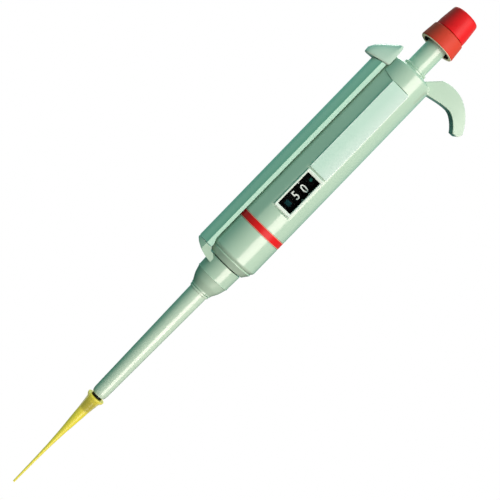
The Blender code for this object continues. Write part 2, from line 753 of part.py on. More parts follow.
def window_bezel(paint):
    """The frame of the window: a flange on the flat and a plug in the opening."""
    back = flat_y - GAP
    half_width = BEZEL_WIDTH / 2
    half_length = BEZEL_LENGTH / 2
    bezel = block(
        "window_bezel",
        (-half_width, back - BEZEL_THICKNESS, window_z - half_length),
        (half_width, back, window_z + half_length),
        paint["shell"],
    )
    rounded(bezel, BEZEL_THICKNESS / 4, 1)
    plug_width = half_width - BEZEL_THICKNESS
    plug_length = half_length - BEZEL_THICKNESS
    low = (-plug_width, back - BEZEL_THICKNESS / 2, window_z - plug_length)
    join(bezel, block("guide_bezel_plug", low, (plug_width, back + BEZEL_PLUG_DEPTH, window_z + plug_length)))
    low = (-WINDOW_WIDTH / 2, -handle_bottom_radius - OVERSHOOT, window_z - WINDOW_LENGTH / 2)
    high = (WINDOW_WIDTH / 2, 0, window_z + WINDOW_LENGTH / 2)
    return cut(bezel, block("guide_window", low, high))


def window_lens(paint):
    """The clear cover, set in the bezel."""
    front = flat_y - GAP - BEZEL_THICKNESS / 2
    half_width = WINDOW_WIDTH / 2 - GAP / 2
    half_length = WINDOW_LENGTH / 2 - GAP / 2
    low = (-half_width, front, window_z - half_length)
    high = (half_width, front + LENS_THICKNESS, window_z + half_length)
    return block("window_lens", low, high, paint["clear"])


def colour_band(paint):
    """The red ring in the handle's groove."""
    top = band_z + BAND_WIDTH / 2
    bottom = band_z - BAND_WIDTH / 2
    inner = handle_radius(top + GAP) - BAND_THICKNESS
    profile = [(inner, top), (handle_radius(top), top), (handle_radius(bottom), bottom), (inner, bottom)]
    return turned("colour_band", profile, paint["red"], LARGE_SIDES)


# Plunger
def plunger_tube(paint):
    """The tube from the button to the piston plate, with its stop flange and its two keyways."""
    top = button_bottom_z + TUBE_IN_BUTTON
    flange_bottom = stop_flange_top_z - STOP_FLANGE
    profile = [
        (TUBE_BORE, top),
        (TUBE_RADIUS, top),
        (TUBE_RADIUS, stop_flange_top_z),
        (STOP_FLANGE_RADIUS, stop_flange_top_z),
        (STOP_FLANGE_RADIUS, flange_bottom),
        (TUBE_RADIUS, flange_bottom),
        (TUBE_RADIUS, tube_bottom_z),
        (TUBE_BORE, tube_bottom_z),
    ]
    made = turned("plunger_tube", profile, paint["shell"])
    half = KEY_WIDTH / 2 + KEYWAY_SIDE_GAP
    floor = key_tip_radius - GAP
    screw_key_bottom = screw_top_z - KEY_DROP - KEY_LENGTH
    upper_top = screw_top_z - KEY_DROP + PRESS_TRAVEL + GAP
    outside = TUBE_RADIUS + OVERSHOOT
    cut(made, block("guide_upper_keyway", (-half, floor, screw_key_bottom - GAP), (half, outside, upper_top)))
    counter_key_top = drum_stack_top_z - GAP
    lower_top = counter_key_top + PRESS_TRAVEL + lift_down + GAP
    lower_bottom = counter_key_top - KEY_LENGTH - lift_up - GAP
    return cut(made, block("guide_lower_keyway", (-half, floor, lower_bottom), (half, outside, lower_top)))


def push_button(paint):
    """The skirted lower part of the button, hollow from below."""
    top = button_top_z
    bottom = button_bottom_z
    hub = TUBE_RADIUS + GAP
    web = bottom + BUTTON_RECESS
    profile = [
        (hub, top),
        (BUTTON_SKIRT_TOP_RADIUS - BUTTON_RIM / 2, top),
        (BUTTON_SKIRT_TOP_RADIUS, top - BUTTON_RIM / 2),
        (BUTTON_RADIUS, bottom + BUTTON_RIM),
        (BUTTON_RADIUS - BUTTON_RIM / 2, bottom),
        (BUTTON_RECESS_RADIUS, bottom),
        (BUTTON_RECESS_RADIUS - BUTTON_RIM / 2, web),
        (hub, web),
    ]
    return turned("push_button", profile, paint["button"], LARGE_SIDES)


def button_cap(paint):
    """The top of the button, with a shallow dish round its flat middle and a stem in the tube."""
    bottom = button_top_z + GAP
    top = bottom + CAP_HEIGHT
    stem = TUBE_BORE - GAP
    face = top - CAP_DISH
    edge_centre = (CAP_TOP_RADIUS - CAP_EDGE, top - CAP_EDGE)
    profile = [
        (0, face),
        (CAP_FACE_RADIUS, face),
        *arc(edge_centre, CAP_EDGE, 90, 0, 4),
        (CAP_RADIUS, bottom + CAP_FOOT),
        (CAP_RADIUS - CAP_FOOT, bottom),
        (stem, bottom),
        (stem, bottom - CAP_STEM),
        (0, bottom - CAP_STEM),
    ]
    return turned("button_cap", profile, paint["cap"], LARGE_SIDES)


# Volume setting
def keyed_ring(name, profile, key_top, paint):
    """A turned part with an inner key that runs in the plunger tube's keyway."""
    made = turned(name, profile, paint)
    low = (-KEY_WIDTH / 2, key_tip_radius, key_top - KEY_LENGTH)
    high = (KEY_WIDTH / 2, tube_clear_radius + KEY_DEPTH, key_top)
    return join(made, block("guide_key_of_" + name, low, high))


def volume_screw(paint):
    """The screw ring that turns with the tube and climbs in the thread sleeve."""
    radius = sleeve_inner_radius - GAP
    root = radius - SCREW_CHAMFER
    profile = [
        (tube_clear_radius, screw_top_z),
        (root, screw_top_z),
        (radius, screw_top_z - SCREW_CHAMFER),
        (radius, screw_bottom_z + SCREW_CHAMFER),
        (root, screw_bottom_z),
        (tube_clear_radius, screw_bottom_z),
    ]
    return keyed_ring("volume_screw", profile, screw_top_z - KEY_DROP, paint["brass"])


def thread_sleeve(paint):
    """The fixed sleeve that the screw ring climbs in."""
    low = thread_sleeve_bottom_z
    return tube("thread_sleeve", sleeve_inner_radius, insert_radius, low, thread_sleeve_top_z, paint["brass"])


def thrust_washer(paint):
    """The ring that the tube's stop flange is pushed up against."""
    outer = sleeve_inner_radius - GAP
    return tube("thrust_washer", tube_clear_radius, outer, washer_bottom_z, washer_top_z, paint["steel"])


# Counter
def counter_frame(paint):
    """Two bearing plates in the bore, joined by a spine behind the drums."""
    bore = tube_clear_radius + GAP
    upper_low = counter_frame_top_z - COUNTER_PLATE
    made = tube("counter_frame", bore, insert_radius, upper_low, counter_frame_top_z, paint["inner"])
    lower_high = counter_frame_bottom_z + COUNTER_PLATE
    join(made, tube("guide_lower_plate", bore, insert_radius, counter_frame_bottom_z, lower_high))
    half = math.degrees(COUNTER_SPINE_ANGLE) / 2
    outer = insert_radius - GAP / 2
    steps = COUNTER_SPINE_STEPS
    outline = arc((0, 0), outer, 90 - half, 90 + half, steps)
    outline += arc((0, 0), drum_radius + GAP, 90 + half, 90 - half, steps)
    low = counter_frame_bottom_z + COUNTER_PLATE / 2
    high = counter_frame_top_z - COUNTER_PLATE / 2
    return join(made, upright_prism("guide_counter_spine", outline, low, high))


def counter_sleeve(paint):
    """The sleeve that the drums sit on, turned by the plunger tube."""
    top = drum_stack_top_z
    flange_top = drum_stack_bottom_z - GAP
    bottom = flange_top - COUNTER_SLEEVE_FLANGE
    profile = [
        (tube_clear_radius, top),
        (counter_sleeve_radius, top),
        (counter_sleeve_radius, flange_top),
        (drum_radius - COUNTER_FLANGE_STEP, flange_top),
        (drum_radius - COUNTER_FLANGE_STEP, bottom),
        (tube_clear_radius, bottom),
    ]
    return keyed_ring("counter_sleeve", profile, top - GAP, paint["inner"])


def counter_drums(paint):
    """The four drums, from the fine scale at the top to the hundreds."""
    names = ("fine_drum", "units_drum", "tens_drum", "hundreds_drum")
    inner = counter_sleeve_radius + GAP
    made = []
    for index, name in enumerate(names):
        high = drum_stack_top_z - index * DRUM_PITCH
        low = high - DRUM_PITCH + GAP
        profile = [
            (inner, high),
            (drum_radius - DRUM_CHAMFER, high),
            (drum_radius, high - DRUM_CHAMFER),
            (drum_radius, low + DRUM_CHAMFER),
            (drum_radius - DRUM_CHAMFER, low),
            (inner, low),
        ]
        made.append(turned(name, profile, paint["dark"]))
    return made


def spacers(paint):
    """The tubes above and below the counter that hold the inner parts in place."""
    for name, low, high in (
        ("upper_spacer", counter_frame_top_z + GAP, thread_sleeve_bottom_z - GAP),
        ("lower_spacer", nut_spigot_top_z + GAP, counter_frame_bottom_z - GAP),
    ):
        tube(name, spacer_inner_radius, insert_radius, low, high, paint["inner"])


# Piston
def piston_plate(paint):
    """The plate under the tube that carries the piston and takes the spring."""
    socket = PISTON_RADIUS + GAP
    roof = plate_top_z - PLATE_ROOF
    outer = spacer_inner_radius - RUN_GAP
    profile = [
        (0, plate_top_z),
        (outer, plate_top_z),
        (outer, plate_bottom_z),
        (HUB_RADIUS, plate_bottom_z),
        (HUB_RADIUS, hub_bottom_z),
        (socket, hub_bottom_z),
        (socket, roof),
        (0, roof),
    ]
    return turned("piston_plate", profile, paint["inner"])


def piston(paint):
    """The long round piston with a chamfered nose."""
    top = plate_top_z - PLATE_ROOF - GAP
    bottom = top - PISTON_LENGTH
    profile = [
        (0, top),
        (PISTON_RADIUS, top),
        (PISTON_RADIUS, bottom + PISTON_NOSE),
        (PISTON_RADIUS - PISTON_NOSE / 2, bottom),
        (0, bottom),
    ]
    return turned("piston", profile, paint["steel"], SMALL_SIDES)


def blowout_plate(paint):
    """The first stop, carried by the blow-out spring."""
    hole = PISTON_RADIUS + PISTON_GUIDE_GAP
    return tube("blowout_plate", hole, BLOWOUT_PLATE_RADIUS, blowout_bottom_z, blowout_top_z, paint["steel"])


def seal_retainer(paint):
    """The washer on the shaft's flange that holds the seals and seats both springs."""
    hole = PISTON_RADIUS + PISTON_GUIDE_GAP
    return tube("seal_retainer", hole, shaft_flange_radius, retainer_bottom_z, retainer_top_z, paint["steel"])


def springs(paint):
    """The piston spring, the blow-out spring and the ejector spring."""
    piston_spring = coil(
        "piston_spring",
        PISTON_SPRING_RADIUS,
        PISTON_SPRING_WIRE,
        retainer_top_z + GAP / 2,
        plate_bottom_z - GAP / 2,
        PISTON_SPRING_TURNS,
        paint["steel"],
    )
    blowout_spring = coil(
        "blowout_spring",
        BLOWOUT_SPRING_RADIUS,
        BLOWOUT_SPRING_WIRE,
        retainer_top_z + GAP / 2,
        blowout_bottom_z - GAP / 2,
        BLOWOUT_SPRING_TURNS,
        paint["steel"],
    )
    ejector_spring = coil(
        "ejector_spring",
        EJECTOR_SPRING_RADIUS,
        EJECTOR_SPRING_WIRE,
        ejector_spring_bottom_z,
        ejector_spring_top_z,
        EJECTOR_SPRING_TURNS,
        paint["steel"],
        centre=(guide_x, 0),
        per_turn=EJECTOR_SPRING_STEPS,
    )
    return piston_spring, blowout_spring, ejector_spring


# Shaft
def coupling_nut(paint):
    """The ring under the handle that holds the shaft."""
    floor_top = nut_bottom_z + NUT_FLOOR
    hole = SHAFT_SPIGOT_RADIUS + GAP
    profile = [
        (nut_spigot_bore, nut_spigot_top_z),
        (insert_radius, nut_spigot_top_z),
        (insert_radius, nut_top_z),
        (foot_radius - NUT_EDGE, nut_top_z),
        (foot_radius, nut_top_z - NUT_EDGE),
        (NUT_BOTTOM_RADIUS + NUT_EDGE, nut_bottom_z + NUT_EDGE),
        (NUT_BOTTOM_RADIUS - NUT_EDGE, nut_bottom_z),
        (hole, nut_bottom_z),
        (hole, floor_top),
        (nut_spigot_bore, floor_top),
    ]
    return turned("coupling_nut", profile, paint["shell"], LARGE_SIDES)


def shaft(paint):
    """The tip holder: flange, tapered body, long stem and the pin that the cone is pressed on."""
    profile = [
        (SEAL_POCKET_RADIUS, shaft_top_z),
        (shaft_flange_radius, shaft_top_z),
        (shaft_flange_radius, shaft_flange_bottom_z),
        (SHAFT_SPIGOT_RADIUS, shaft_flange_bottom_z),
        (SHAFT_SPIGOT_RADIUS, shaft_taper_top_z),
        (SHAFT_RADIUS, shaft_taper_bottom_z),
        (SHAFT_RADIUS, shaft_pin_top_z),
        (SHAFT_PIN_RADIUS, shaft_pin_top_z),
        (SHAFT_PIN_RADIUS, shaft_end_z),
        (AIR_BORE_RADIUS, shaft_end_z),
        (AIR_BORE_RADIUS, shaft_top_z - SHAFT_BORE_DEPTH - SHAFT_BORE_TAPER),
        (SHAFT_BORE_RADIUS, shaft_top_z - SHAFT_BORE_DEPTH),
        (SHAFT_BORE_RADIUS, seal_floor_z),
        (SEAL_POCKET_RADIUS, seal_floor_z),
    ]
    return turned("shaft", profile, paint["dark"])


def seals(paint):
    """The piston seal over its O-ring, in the shaft's pocket."""
    outer = SEAL_POCKET_RADIUS - GAP
    inner = PISTON_RADIUS + PISTON_GUIDE_GAP
    seal = tube("piston_seal", inner, outer, seal_bottom_z, seal_top_z, paint["inner"])
    ring_centre = outer - O_RING_WIRE / 2
    section = arc((ring_centre, o_ring_z), O_RING_WIRE / 2, 0, -315, 7)
    ring = turned("o_ring", section, paint["rubber"], SMALL_SIDES)
    return seal, ring


def tip_cone(paint):
    """The black cone that the tip is pushed on, with a socket for the shaft's pin."""
    socket = SHAFT_PIN_RADIUS + GAP
    socket_end = shaft_end_z - GAP
    profile = [
        (socket, cone_top_z),
        (CONE_RADIUS, cone_top_z),
        (CONE_RADIUS, cone_taper_z),
        (CONE_END_RADIUS, cone_end_z + CONE_EDGE),
        (CONE_END_RADIUS - CONE_EDGE, cone_end_z),
        (AIR_BORE_RADIUS, cone_end_z),
        (AIR_BORE_RADIUS, socket_end),
        (socket, socket_end),
    ]
    return turned("tip_cone", profile, paint["dark"], SMALL_SIDES)


# Ejector
def bar_section(half_width, shoulder_x, outer_x, inner_x, steps=5):
    """Outline of the bar on the -X side: straight edges, and sides that slant in to a round nose."""
    slant_x = shoulder_x + (outer_x - shoulder_x) * BAR_SLANT
    front = bend(
        (-shoulder_x, -half_width),
        (-slant_x, -half_width * BAR_SLANT),
        (-outer_x, -half_width * BAR_NOSE),
        (-outer_x, 0),
        steps,
    )
    back = [(x, -y) for x, y in reversed(front)]
    return [(-inner_x, -half_width), *front, (-outer_x, 0), *back, (-inner_x, half_width)]


def leaned(made, from_z):
    """Slopes what lies above a height, lower the farther it stands off the handle."""
    for vertex in made.data.vertices:
        if vertex.co.z > from_z:
            vertex.co.z += KEY_SLOPE * (vertex.co.x + handle_top_radius)
    return made


def ejector_bar(paint):
    """The channel down the handle's side, with the spring's rib, the foot block and the key pin's hole."""
    inner_x = handle_bore - HANDLE_WALL
    outline = bar_section(BAR_HALF_WIDTH, bar_shoulder_x, bar_outer_x, inner_x)
    made = upright_prism("ejector_bar", outline, bar_bottom_z, bar_top_z, paint["shell"])
    leaned(made, bar_top_z - OVERSHOOT)
    hollow_outer_x = bar_outer_x - BAR_WALL
    hollow = bar_section(BAR_HALF_WIDTH - BAR_WALL, bar_shoulder_x, hollow_outer_x, inner_x - OVERSHOOT)
    hollow_bottom = bar_bottom_z + BAR_FOOT_BLOCK
    for name, low, high in (
        ("guide_channel_above_rib", rib_top_z, bar_top_z + OVERSHOOT),
        ("guide_channel_below_rib", hollow_bottom, rib_bottom_z),
    ):
        cut(made, upright_prism(name, hollow, low, high))
    cut(made, envelope("guide_bar_clearance", RUN_GAP, bar_bottom_z - OVERSHOOT, bar_top_z + OVERSHOOT))

    slot_radius = GUIDE_ROD_RADIUS + GAP
    cut(made, rod("guide_rib_slot", slot_radius, rib_bottom_z - GAP, rib_top_z + GAP, centre=(guide_x, 0)))
    low = (guide_x, -slot_radius, rib_bottom_z - GAP)
    cut(made, block("guide_rib_mouth", low, (-handle_bore, slot_radius, rib_top_z + GAP)))

    pin_hole = rod("guide_pin_hole", KEY_PIN_RADIUS + GAP, 0, BAR_HALF_WIDTH + OVERSHOOT, sides=FINE_SIDES)
    place_across(pin_hole)
    cut(made, pin_hole)
    screw_hole = rod(
        "guide_screw_hole",
        ARM_SCREW_RADIUS + GAP,
        bar_bottom_z - OVERSHOOT,
        bar_bottom_z + ARM_SCREW_GRIP + GAP,
        sides=FINE_SIDES,
        centre=(arm_screw_x, 0),
    )
    return cut(made, screw_hole)


def place_across(upright):
    """Lays an upright rod along +Y, at the key pin's place."""
    upright.rotation_euler = (-math.pi / 2, 0, 0)
    upright.location = (-(bar_shoulder_x + KEY_PIN_INSET), 0, bar_top_z - TONGUE_LENGTH / 2)


def thumb_key(paint):
    """The flared key on top of the bar, with a tongue in the channel."""
    bottom = bar_top_z + GAP
    inner_x = handle_bore - HANDLE_WALL
    bm = bmesh.new()
    rings = []
    for height, reach, width in KEY_LEVELS:
        outer_x = handle_top_radius + KEY_REACH * reach
        outline = bar_section(KEY_HALF_WIDTH * width, handle_top_radius, outer_x, inner_x, 6)
        rings.append([bm.verts.new((x, y, bottom + KEY_HEIGHT * height)) for x, y in outline])
    for lower, upper in zip(rings, rings[1:]):
        for index in range(len(lower)):
            following = (index + 1) % len(lower)
            bm.faces.new((lower[index], lower[following], upper[following], upper[index]))
    bm.faces.new(rings[0])
    bm.faces.new(rings[-1])
    made = leaned(add_object("thumb_key", bm, paint["shell"]), bottom - OVERSHOOT)
    tongue_outer_x = bar_outer_x - BAR_WALL - GAP
    inside = bar_section(TONGUE_HALF_WIDTH, bar_shoulder_x, tongue_outer_x, handle_top_radius + GAP)
    join(made, upright_prism("guide_key_tongue", inside, bar_top_z - TONGUE_LENGTH, bottom + OVERSHOOT))
    low = bar_top_z - TONGUE_LENGTH - OVERSHOOT
    cut(made, envelope("guide_key_clearance", RUN_GAP, low, bottom + KEY_HEIGHT + OVERSHOOT))
    hole_end = TONGUE_HALF_WIDTH + OVERSHOOT
    pin_hole = rod("guide_key_pin_hole", KEY_PIN_RADIUS + GAP, 0, hole_end, sides=FINE_SIDES)
    place_across(pin_hole)
    return cut(made, pin_hole)


def key_pin(paint):
    """The pin from the back that fastens the key in the bar."""
    made = rod("key_pin", KEY_PIN_RADIUS, GAP, BAR_HALF_WIDTH - GAP, paint["steel"], FINE_SIDES)
    place_across(made)
    return made


def guide_rod(paint):
    """The rod between the handle's lugs that the ejector spring sits on."""
    low = lower_lug_bottom_z + GAP
    high = upper_lug_top_z - GAP
    return rod("ejector_guide_rod", GUIDE_ROD_RADIUS, low, high, paint["steel"], FINE_SIDES, (guide_x, 0))


def arm_outline():
    """Side outline of the arm, from under the bar in to the head's neck."""
    outer = -(bar_outer_x - ARM_OUTER_INSET)
    top = bar_bottom_z - GAP
    step_x = -(handle_bottom_radius + GAP)
    shelf = nut_bottom_z - RUN_GAP
    low = shelf - ARM_THICKNESS
    return [
        (outer, top),
        (step_x, top),
        (step_x + ARM_STEP_WIDTH, shelf),
        (-NECK_RADIUS, shelf),
        (ARM_END_X - ARM_END_TOP[0], shelf - ARM_END_TOP[1]),
        (ARM_END_X, low + ARM_END_LIFT),
        (ARM_END_X - ARM_END_FOOT[0], low - ARM_END_FOOT[1]),
        (-(NECK_RADIUS + ARM_NECK_REACH), low),
        (step_x - ARM_STEP_FOOT[0], low + ARM_STEP_FOOT[1]),
        (outer + ARM_OUTER_FOOT[0], low + ARM_OUTER_FOOT[1]),
        (outer, top - ARM_OUTER_HEIGHT),
    ]


def ejector_head(paint):
    """Neck and cone round the shaft, with the arm that carries them under the bar."""
    profile = [
        (0, head_top_z),
        (NECK_RADIUS, head_top_z),
        (NECK_END_RADIUS, neck_bottom_z),
        (HEAD_CONE_MIDDLE_RADIUS, neck_bottom_z - HEAD_CONE_MIDDLE_DROP),
        (HEAD_CONE_END_RADIUS, head_cone_end_z),
        (HEAD_CONE_END_RADIUS, head_bottom_z),
        (0, head_bottom_z),
    ]
    made = turned("ejector_head", profile, paint["shell"], LARGE_SIDES)
    arm = side_prism("guide_arm", arm_outline(), BAR_HALF_WIDTH + OVERSHOOT)
    plan = bar_section(BAR_HALF_WIDTH, bar_shoulder_x, bar_outer_x, -ARM_END_X - OVERSHOOT)
    boolean(arm, upright_prism("guide_arm_plan", plan, head_bottom_z, bar_bottom_z + OVERSHOOT), "INTERSECT")
    rounded(arm, ARM_EDGE, 1)
    join(made, arm)
    bore = NECK_END_RADIUS - HEAD_WALL
    spigot = SLEEVE_SPIGOT_RADIUS + GAP
    inside = [
        (0, nut_bottom_z + OVERSHOOT),
        (bore + HEAD_BORE_TAPER, nut_bottom_z + OVERSHOOT),
        (bore, neck_bottom_z),
        (spigot, neck_bottom_z - HEAD_CONE_MIDDLE_DROP),
        (spigot, head_bottom_z - OVERSHOOT),
        (0, head_bottom_z - OVERSHOOT),
    ]
    cut(made, turned("guide_head_bore", inside, None, LARGE_SIDES))
    head_depth = ARM_SCREW_HEAD + GAP
    seat = screw_seat_z()
    shank = rod(
        "guide_arm_shank",
        ARM_SCREW_RADIUS + GAP,
        seat - OVERSHOOT,
        bar_bottom_z,
        sides=FINE_SIDES,
        centre=(arm_screw_x, 0),
    )
    cut(made, shank)
    pocket = rod(
        "guide_arm_pocket",
        ARM_SCREW_HEAD_RADIUS + GAP,
        seat - head_depth - ARM_POCKET_DEPTH,
        seat,
        sides=SMALL_SIDES,
        centre=(arm_screw_x, 0),
    )
    return cut(made, pocket)


def screw_seat_z():
    """Height of the seat of the arm screw's head."""
    return bar_bottom_z - GAP - ARM_SCREW_FLOOR


def arm_screw(paint):
    """The screw from below that holds the arm to the bar."""
    seat = screw_seat_z() - GAP / 2
    top = bar_bottom_z + ARM_SCREW_GRIP
    profile = [
        (0, top),
        (ARM_SCREW_RADIUS, top),
        (ARM_SCREW_RADIUS, seat),
        (ARM_SCREW_HEAD_RADIUS, seat),
        (ARM_SCREW_HEAD_RADIUS, seat - ARM_SCREW_HEAD),
        (0, seat - ARM_SCREW_HEAD),
    ]
    return turned("arm_screw", profile, paint["steel"], FINE_SIDES, (arm_screw_x, 0))


def ejector_tube(paint):
    """The long tapered sleeve on the shaft, with a ring under the head and a lip at the cone."""
    lip_outer = SLEEVE_LIP_RADIUS + SLEEVE_LIP_WALL
    profile = [
        (SLEEVE_BORE, sleeve_spigot_top_z),
        (SLEEVE_SPIGOT_RADIUS, sleeve_spigot_top_z),
        (SLEEVE_SPIGOT_RADIUS, sleeve_ring_top_z),
        (SLEEVE_RING_RADIUS, sleeve_ring_top_z),
        (SLEEVE_RING_RADIUS, sleeve_ring_top_z - SLEEVE_RING),
        (SLEEVE_TOP_RADIUS, sleeve_ring_top_z - SLEEVE_RING - SLEEVE_RING_FALL),
        (SLEEVE_BOTTOM_RADIUS, sleeve_bottom_z + SLEEVE_CHAMFER),
        (SLEEVE_BOTTOM_RADIUS - SLEEVE_CHAMFER_INSET, sleeve_bottom_z + SLEEVE_CHAMFER_FOOT),
        (lip_outer, sleeve_bottom_z),
        (SLEEVE_LIP_RADIUS, sleeve_bottom_z),
        (SLEEVE_LIP_RADIUS, sleeve_bottom_z + SLEEVE_LIP_LENGTH),
        (SLEEVE_BORE, sleeve_bottom_z + SLEEVE_LIP_LENGTH + SLEEVE_LIP_TAPER),
    ]
    return turned("ejector_tube", profile, paint["shell"])


def pipette_tip(paint):
    """The disposable tip: a collar, a seat that follows the cone, and a long taper to the orifice."""
    seat_top = cone_radius(tip_top_z) + GAP
    seat_end = CONE_END_RADIUS + GAP
    outside = [
        (TIP_COLLAR_RADIUS, tip_top_z),
        (TIP_COLLAR_RADIUS - TIP_COLLAR_TAPER, tip_top_z - TIP_COLLAR_HEIGHT),
        (seat_top + TIP_WALL + TIP_COLLAR_TAPER, tip_top_z - 2 * TIP_COLLAR_HEIGHT),
        (seat_end + TIP_WALL, cone_end_z),
        *[(radius, cone_end_z - depth) for depth, radius in TIP_TAPER],
        (TIP_END_RADIUS, tip_end_z),
    ]
    inside = [
        (TIP_ORIFICE_RADIUS, tip_end_z),
        *[(radius - TIP_WALL + TIP_THINNING, cone_end_z - depth) for depth, radius in reversed(TIP_TAPER)],
        (seat_end, cone_end_z),
        (seat_top, tip_top_z),
    ]
    return turned("pipette_tip", outside + inside, paint["tip"], SMALL_SIDES)


def build():
    """The whole pipette."""
    for old in list(bpy.data.objects):
        bpy.data.objects.remove(old, do_unlink=True)
    paint = make_materials()
    for make in (
        handle_housing,
        top_collar,
        label_plate,
        window_bezel,
        window_lens,
        colour_band,
        plunger_tube,
        push_button,
        button_cap,
        volume_screw,
        thread_sleeve,
        thrust_washer,
        counter_frame,
        counter_sleeve,
        counter_drums,
        spacers,
        piston_plate,
        piston,
        blowout_plate,
        seal_retainer,
        springs,
        coupling_nut,
        shaft,
        seals,
        tip_cone,
        ejector_bar,
        thumb_key,
        key_pin,
        guide_rod,
        ejector_head,
        arm_screw,
        ejector_tube,
        pipette_tip,
    ):
        make(paint)


build()
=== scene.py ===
"""Looks of the adjustable micropipette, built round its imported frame.

Metres, +Z up along the pipette's axis. The label and window face -Y, the ejector bar is at -X and the finger
hook at +X. Every finished piece sits at the origin, with its place in its mesh.
"""

import math

import bmesh
import bpy
from mathutils import Matrix, Vector


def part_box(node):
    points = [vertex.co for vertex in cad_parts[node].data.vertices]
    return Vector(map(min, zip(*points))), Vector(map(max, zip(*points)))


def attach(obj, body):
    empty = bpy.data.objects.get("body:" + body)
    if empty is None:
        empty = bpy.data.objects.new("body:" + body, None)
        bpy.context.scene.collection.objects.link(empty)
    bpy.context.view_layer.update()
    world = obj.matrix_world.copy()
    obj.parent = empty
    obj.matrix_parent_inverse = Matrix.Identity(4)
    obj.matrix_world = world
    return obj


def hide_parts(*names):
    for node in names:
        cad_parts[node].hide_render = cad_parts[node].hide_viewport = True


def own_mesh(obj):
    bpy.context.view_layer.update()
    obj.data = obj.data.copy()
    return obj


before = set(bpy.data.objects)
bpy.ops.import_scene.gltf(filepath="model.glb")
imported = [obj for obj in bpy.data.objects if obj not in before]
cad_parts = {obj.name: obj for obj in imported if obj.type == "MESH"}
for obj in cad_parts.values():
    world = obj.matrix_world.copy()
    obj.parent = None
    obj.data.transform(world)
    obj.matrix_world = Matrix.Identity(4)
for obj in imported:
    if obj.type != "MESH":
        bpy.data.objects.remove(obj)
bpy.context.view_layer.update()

# Camera, from the photograph
CAMERA_LENS = 75.0
CAMERA_SENSOR = 36.0
CAMERA_NEAR = 0.01
CAMERA_FAR = 20
CAMERA_DISTANCE = 0.434
CAMERA_AZIMUTH = math.radians(-7.0)
EYE_LEVEL = -0.0725
CAMERA_YAW = math.radians(0.43)
CAMERA_PITCH = math.radians(-3.24)
AXIS_LEAN = math.radians(45.716)

# Lights, all turned to one place on the axis
LIGHT_TARGET = Vector((0, 0, -0.1))

# Floor, low enough for the tip when it is pushed off
FLOOR_DROP = 0.0110
FLOOR_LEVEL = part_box("pipette_tip")[0].z - FLOOR_DROP
FLOOR_RADIUS = 0.6
FLOOR_SIDES = 64

# Facets, closeness of points and how far cutters overrun
ROUND_SIDES = 144
SMALL_ROUND_SIDES = 96
MERGE_DISTANCE = 1e-7
ON_AXIS = 1e-6
CUT_ABOVE = 0.002
CUT_BELOW = 0.001

# Sizes of the handle
HANDLE_TOP = 0.0017
HANDLE_RADIUS = 0.0110
HANDLE_FLARE = 0.00045
HANDLE_FOOT = -0.1044
HANDLE_BORE = 0.0094
HANDLE_SHOULDER = 0.0015
FOOT_ROUND = 0.0016
FOOT_INSET = 0.0008
COLLAR_HOLE = 0.0058
TOP_WALL = 0.0033
FLAT_DISTANCE = 0.010237
FLAT_SOFTNESS = 0.00025
FLAT_TOP = -0.0071
FLAT_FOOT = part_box("window_bezel")[0].z - 0.0003
FLAT_FOOT_RAMP = 0.0001
FACET_DIRECTION = math.radians(-44)
FACET_DEPTH = 0.00055
FACET_LENGTH = 0.076
FACET_HALF_ANGLE = math.radians(20)
FACET_TOP = -0.0064
FACET_TOP_RISE = 0.0010
FRONT_SIDE = 0.5
RAMP = 0.0003
GROOVE_DEPTH = 0.0008
GROOVE_GAP = 0.0001
OPENING_HALF_WIDTH = 0.0040
OPENING_FRONT = -0.0130
OPENING_BACK = -0.0072
OPENING_INSET = 0.0010

# Rings of the handle's shell: angles in degrees from the front, then steps in height
FINE_START = -68
FINE_STEP = 0.75
FINE_COUNT = 148
COARSE_START = 43
COARSE_SPAN = 249
COARSE_COUNT = 100
ROUND_STEPS = 8
SHORT_RISE = 0.0001
SHOULDER_RISE = 0.001
LONG_RISE = 0.004

# Sizes of the finger hook, its bends as (x, z)
HOOK_WALL_X = 0.0102
HOOK_INNER_X = 0.0061
HOOK_FOOT_Z = 0.0001
HOOK_HALF_WIDTH = 0.0034
HOOK_EDGE = 0.0006
HOOK_HOLE_TOP = 0.02
HOOK_HOLE_FOOT = -0.002
HOOK_CREST = (0.0212, 0.0013)
HOOK_TIP_LOW = (0.0292, -0.0042)
HOOK_TIP_HIGH = (0.0328, -0.0017)
HOOK_SHOULDER = (0.0172, 0.0092)
HOOK_ROOT = (0.0112, 0.0080)

# Sizes of the round pieces on the handle
COLLAR_BORE = 0.0050
COLLAR_LIP_RADIUS = 0.0055
COLLAR_LIP_TOP = 0.0042
COLLAR_FLANGE_RADIUS = 0.0085
COLLAR_FLANGE_TOP = -0.0019
COLLAR_FLANGE_FOOT = -0.0034
BAND_THICKNESS = 0.0006
NUT_BORE = 0.0079
NUT_SPIGOT_RADIUS = 0.0091
NUT_TOP = -0.1045
NUT_FOOT = -0.1079
NUT_HOLE = 0.0060
NUT_ROOF = -0.1060

# Sizes of the plunger stem, button and cap
STEM_BORE = 0.0034
STEM_RADIUS = 0.0047
STEM_TOP = 0.0202
STEM_RIB_RADIUS = 0.0064
STEM_RIB_TOP = -0.0330
STEM_RIB_FOOT = -0.0350
STEM_FOOT = -0.08365
BUTTON_BORE = 0.0050
SKIRT_TOP_RADIUS = 0.0076
SKIRT_RADIUS = 0.0083
SKIRT_HOLLOW_DEPTH = 0.0014
CAP_RADIUS = 0.0071
CAP_SIDE_HEIGHT = 0.0078
CAP_DIP = 0.0004
CAP_SEAT = 0.0236
CAP_STUD_RADIUS = 0.0031

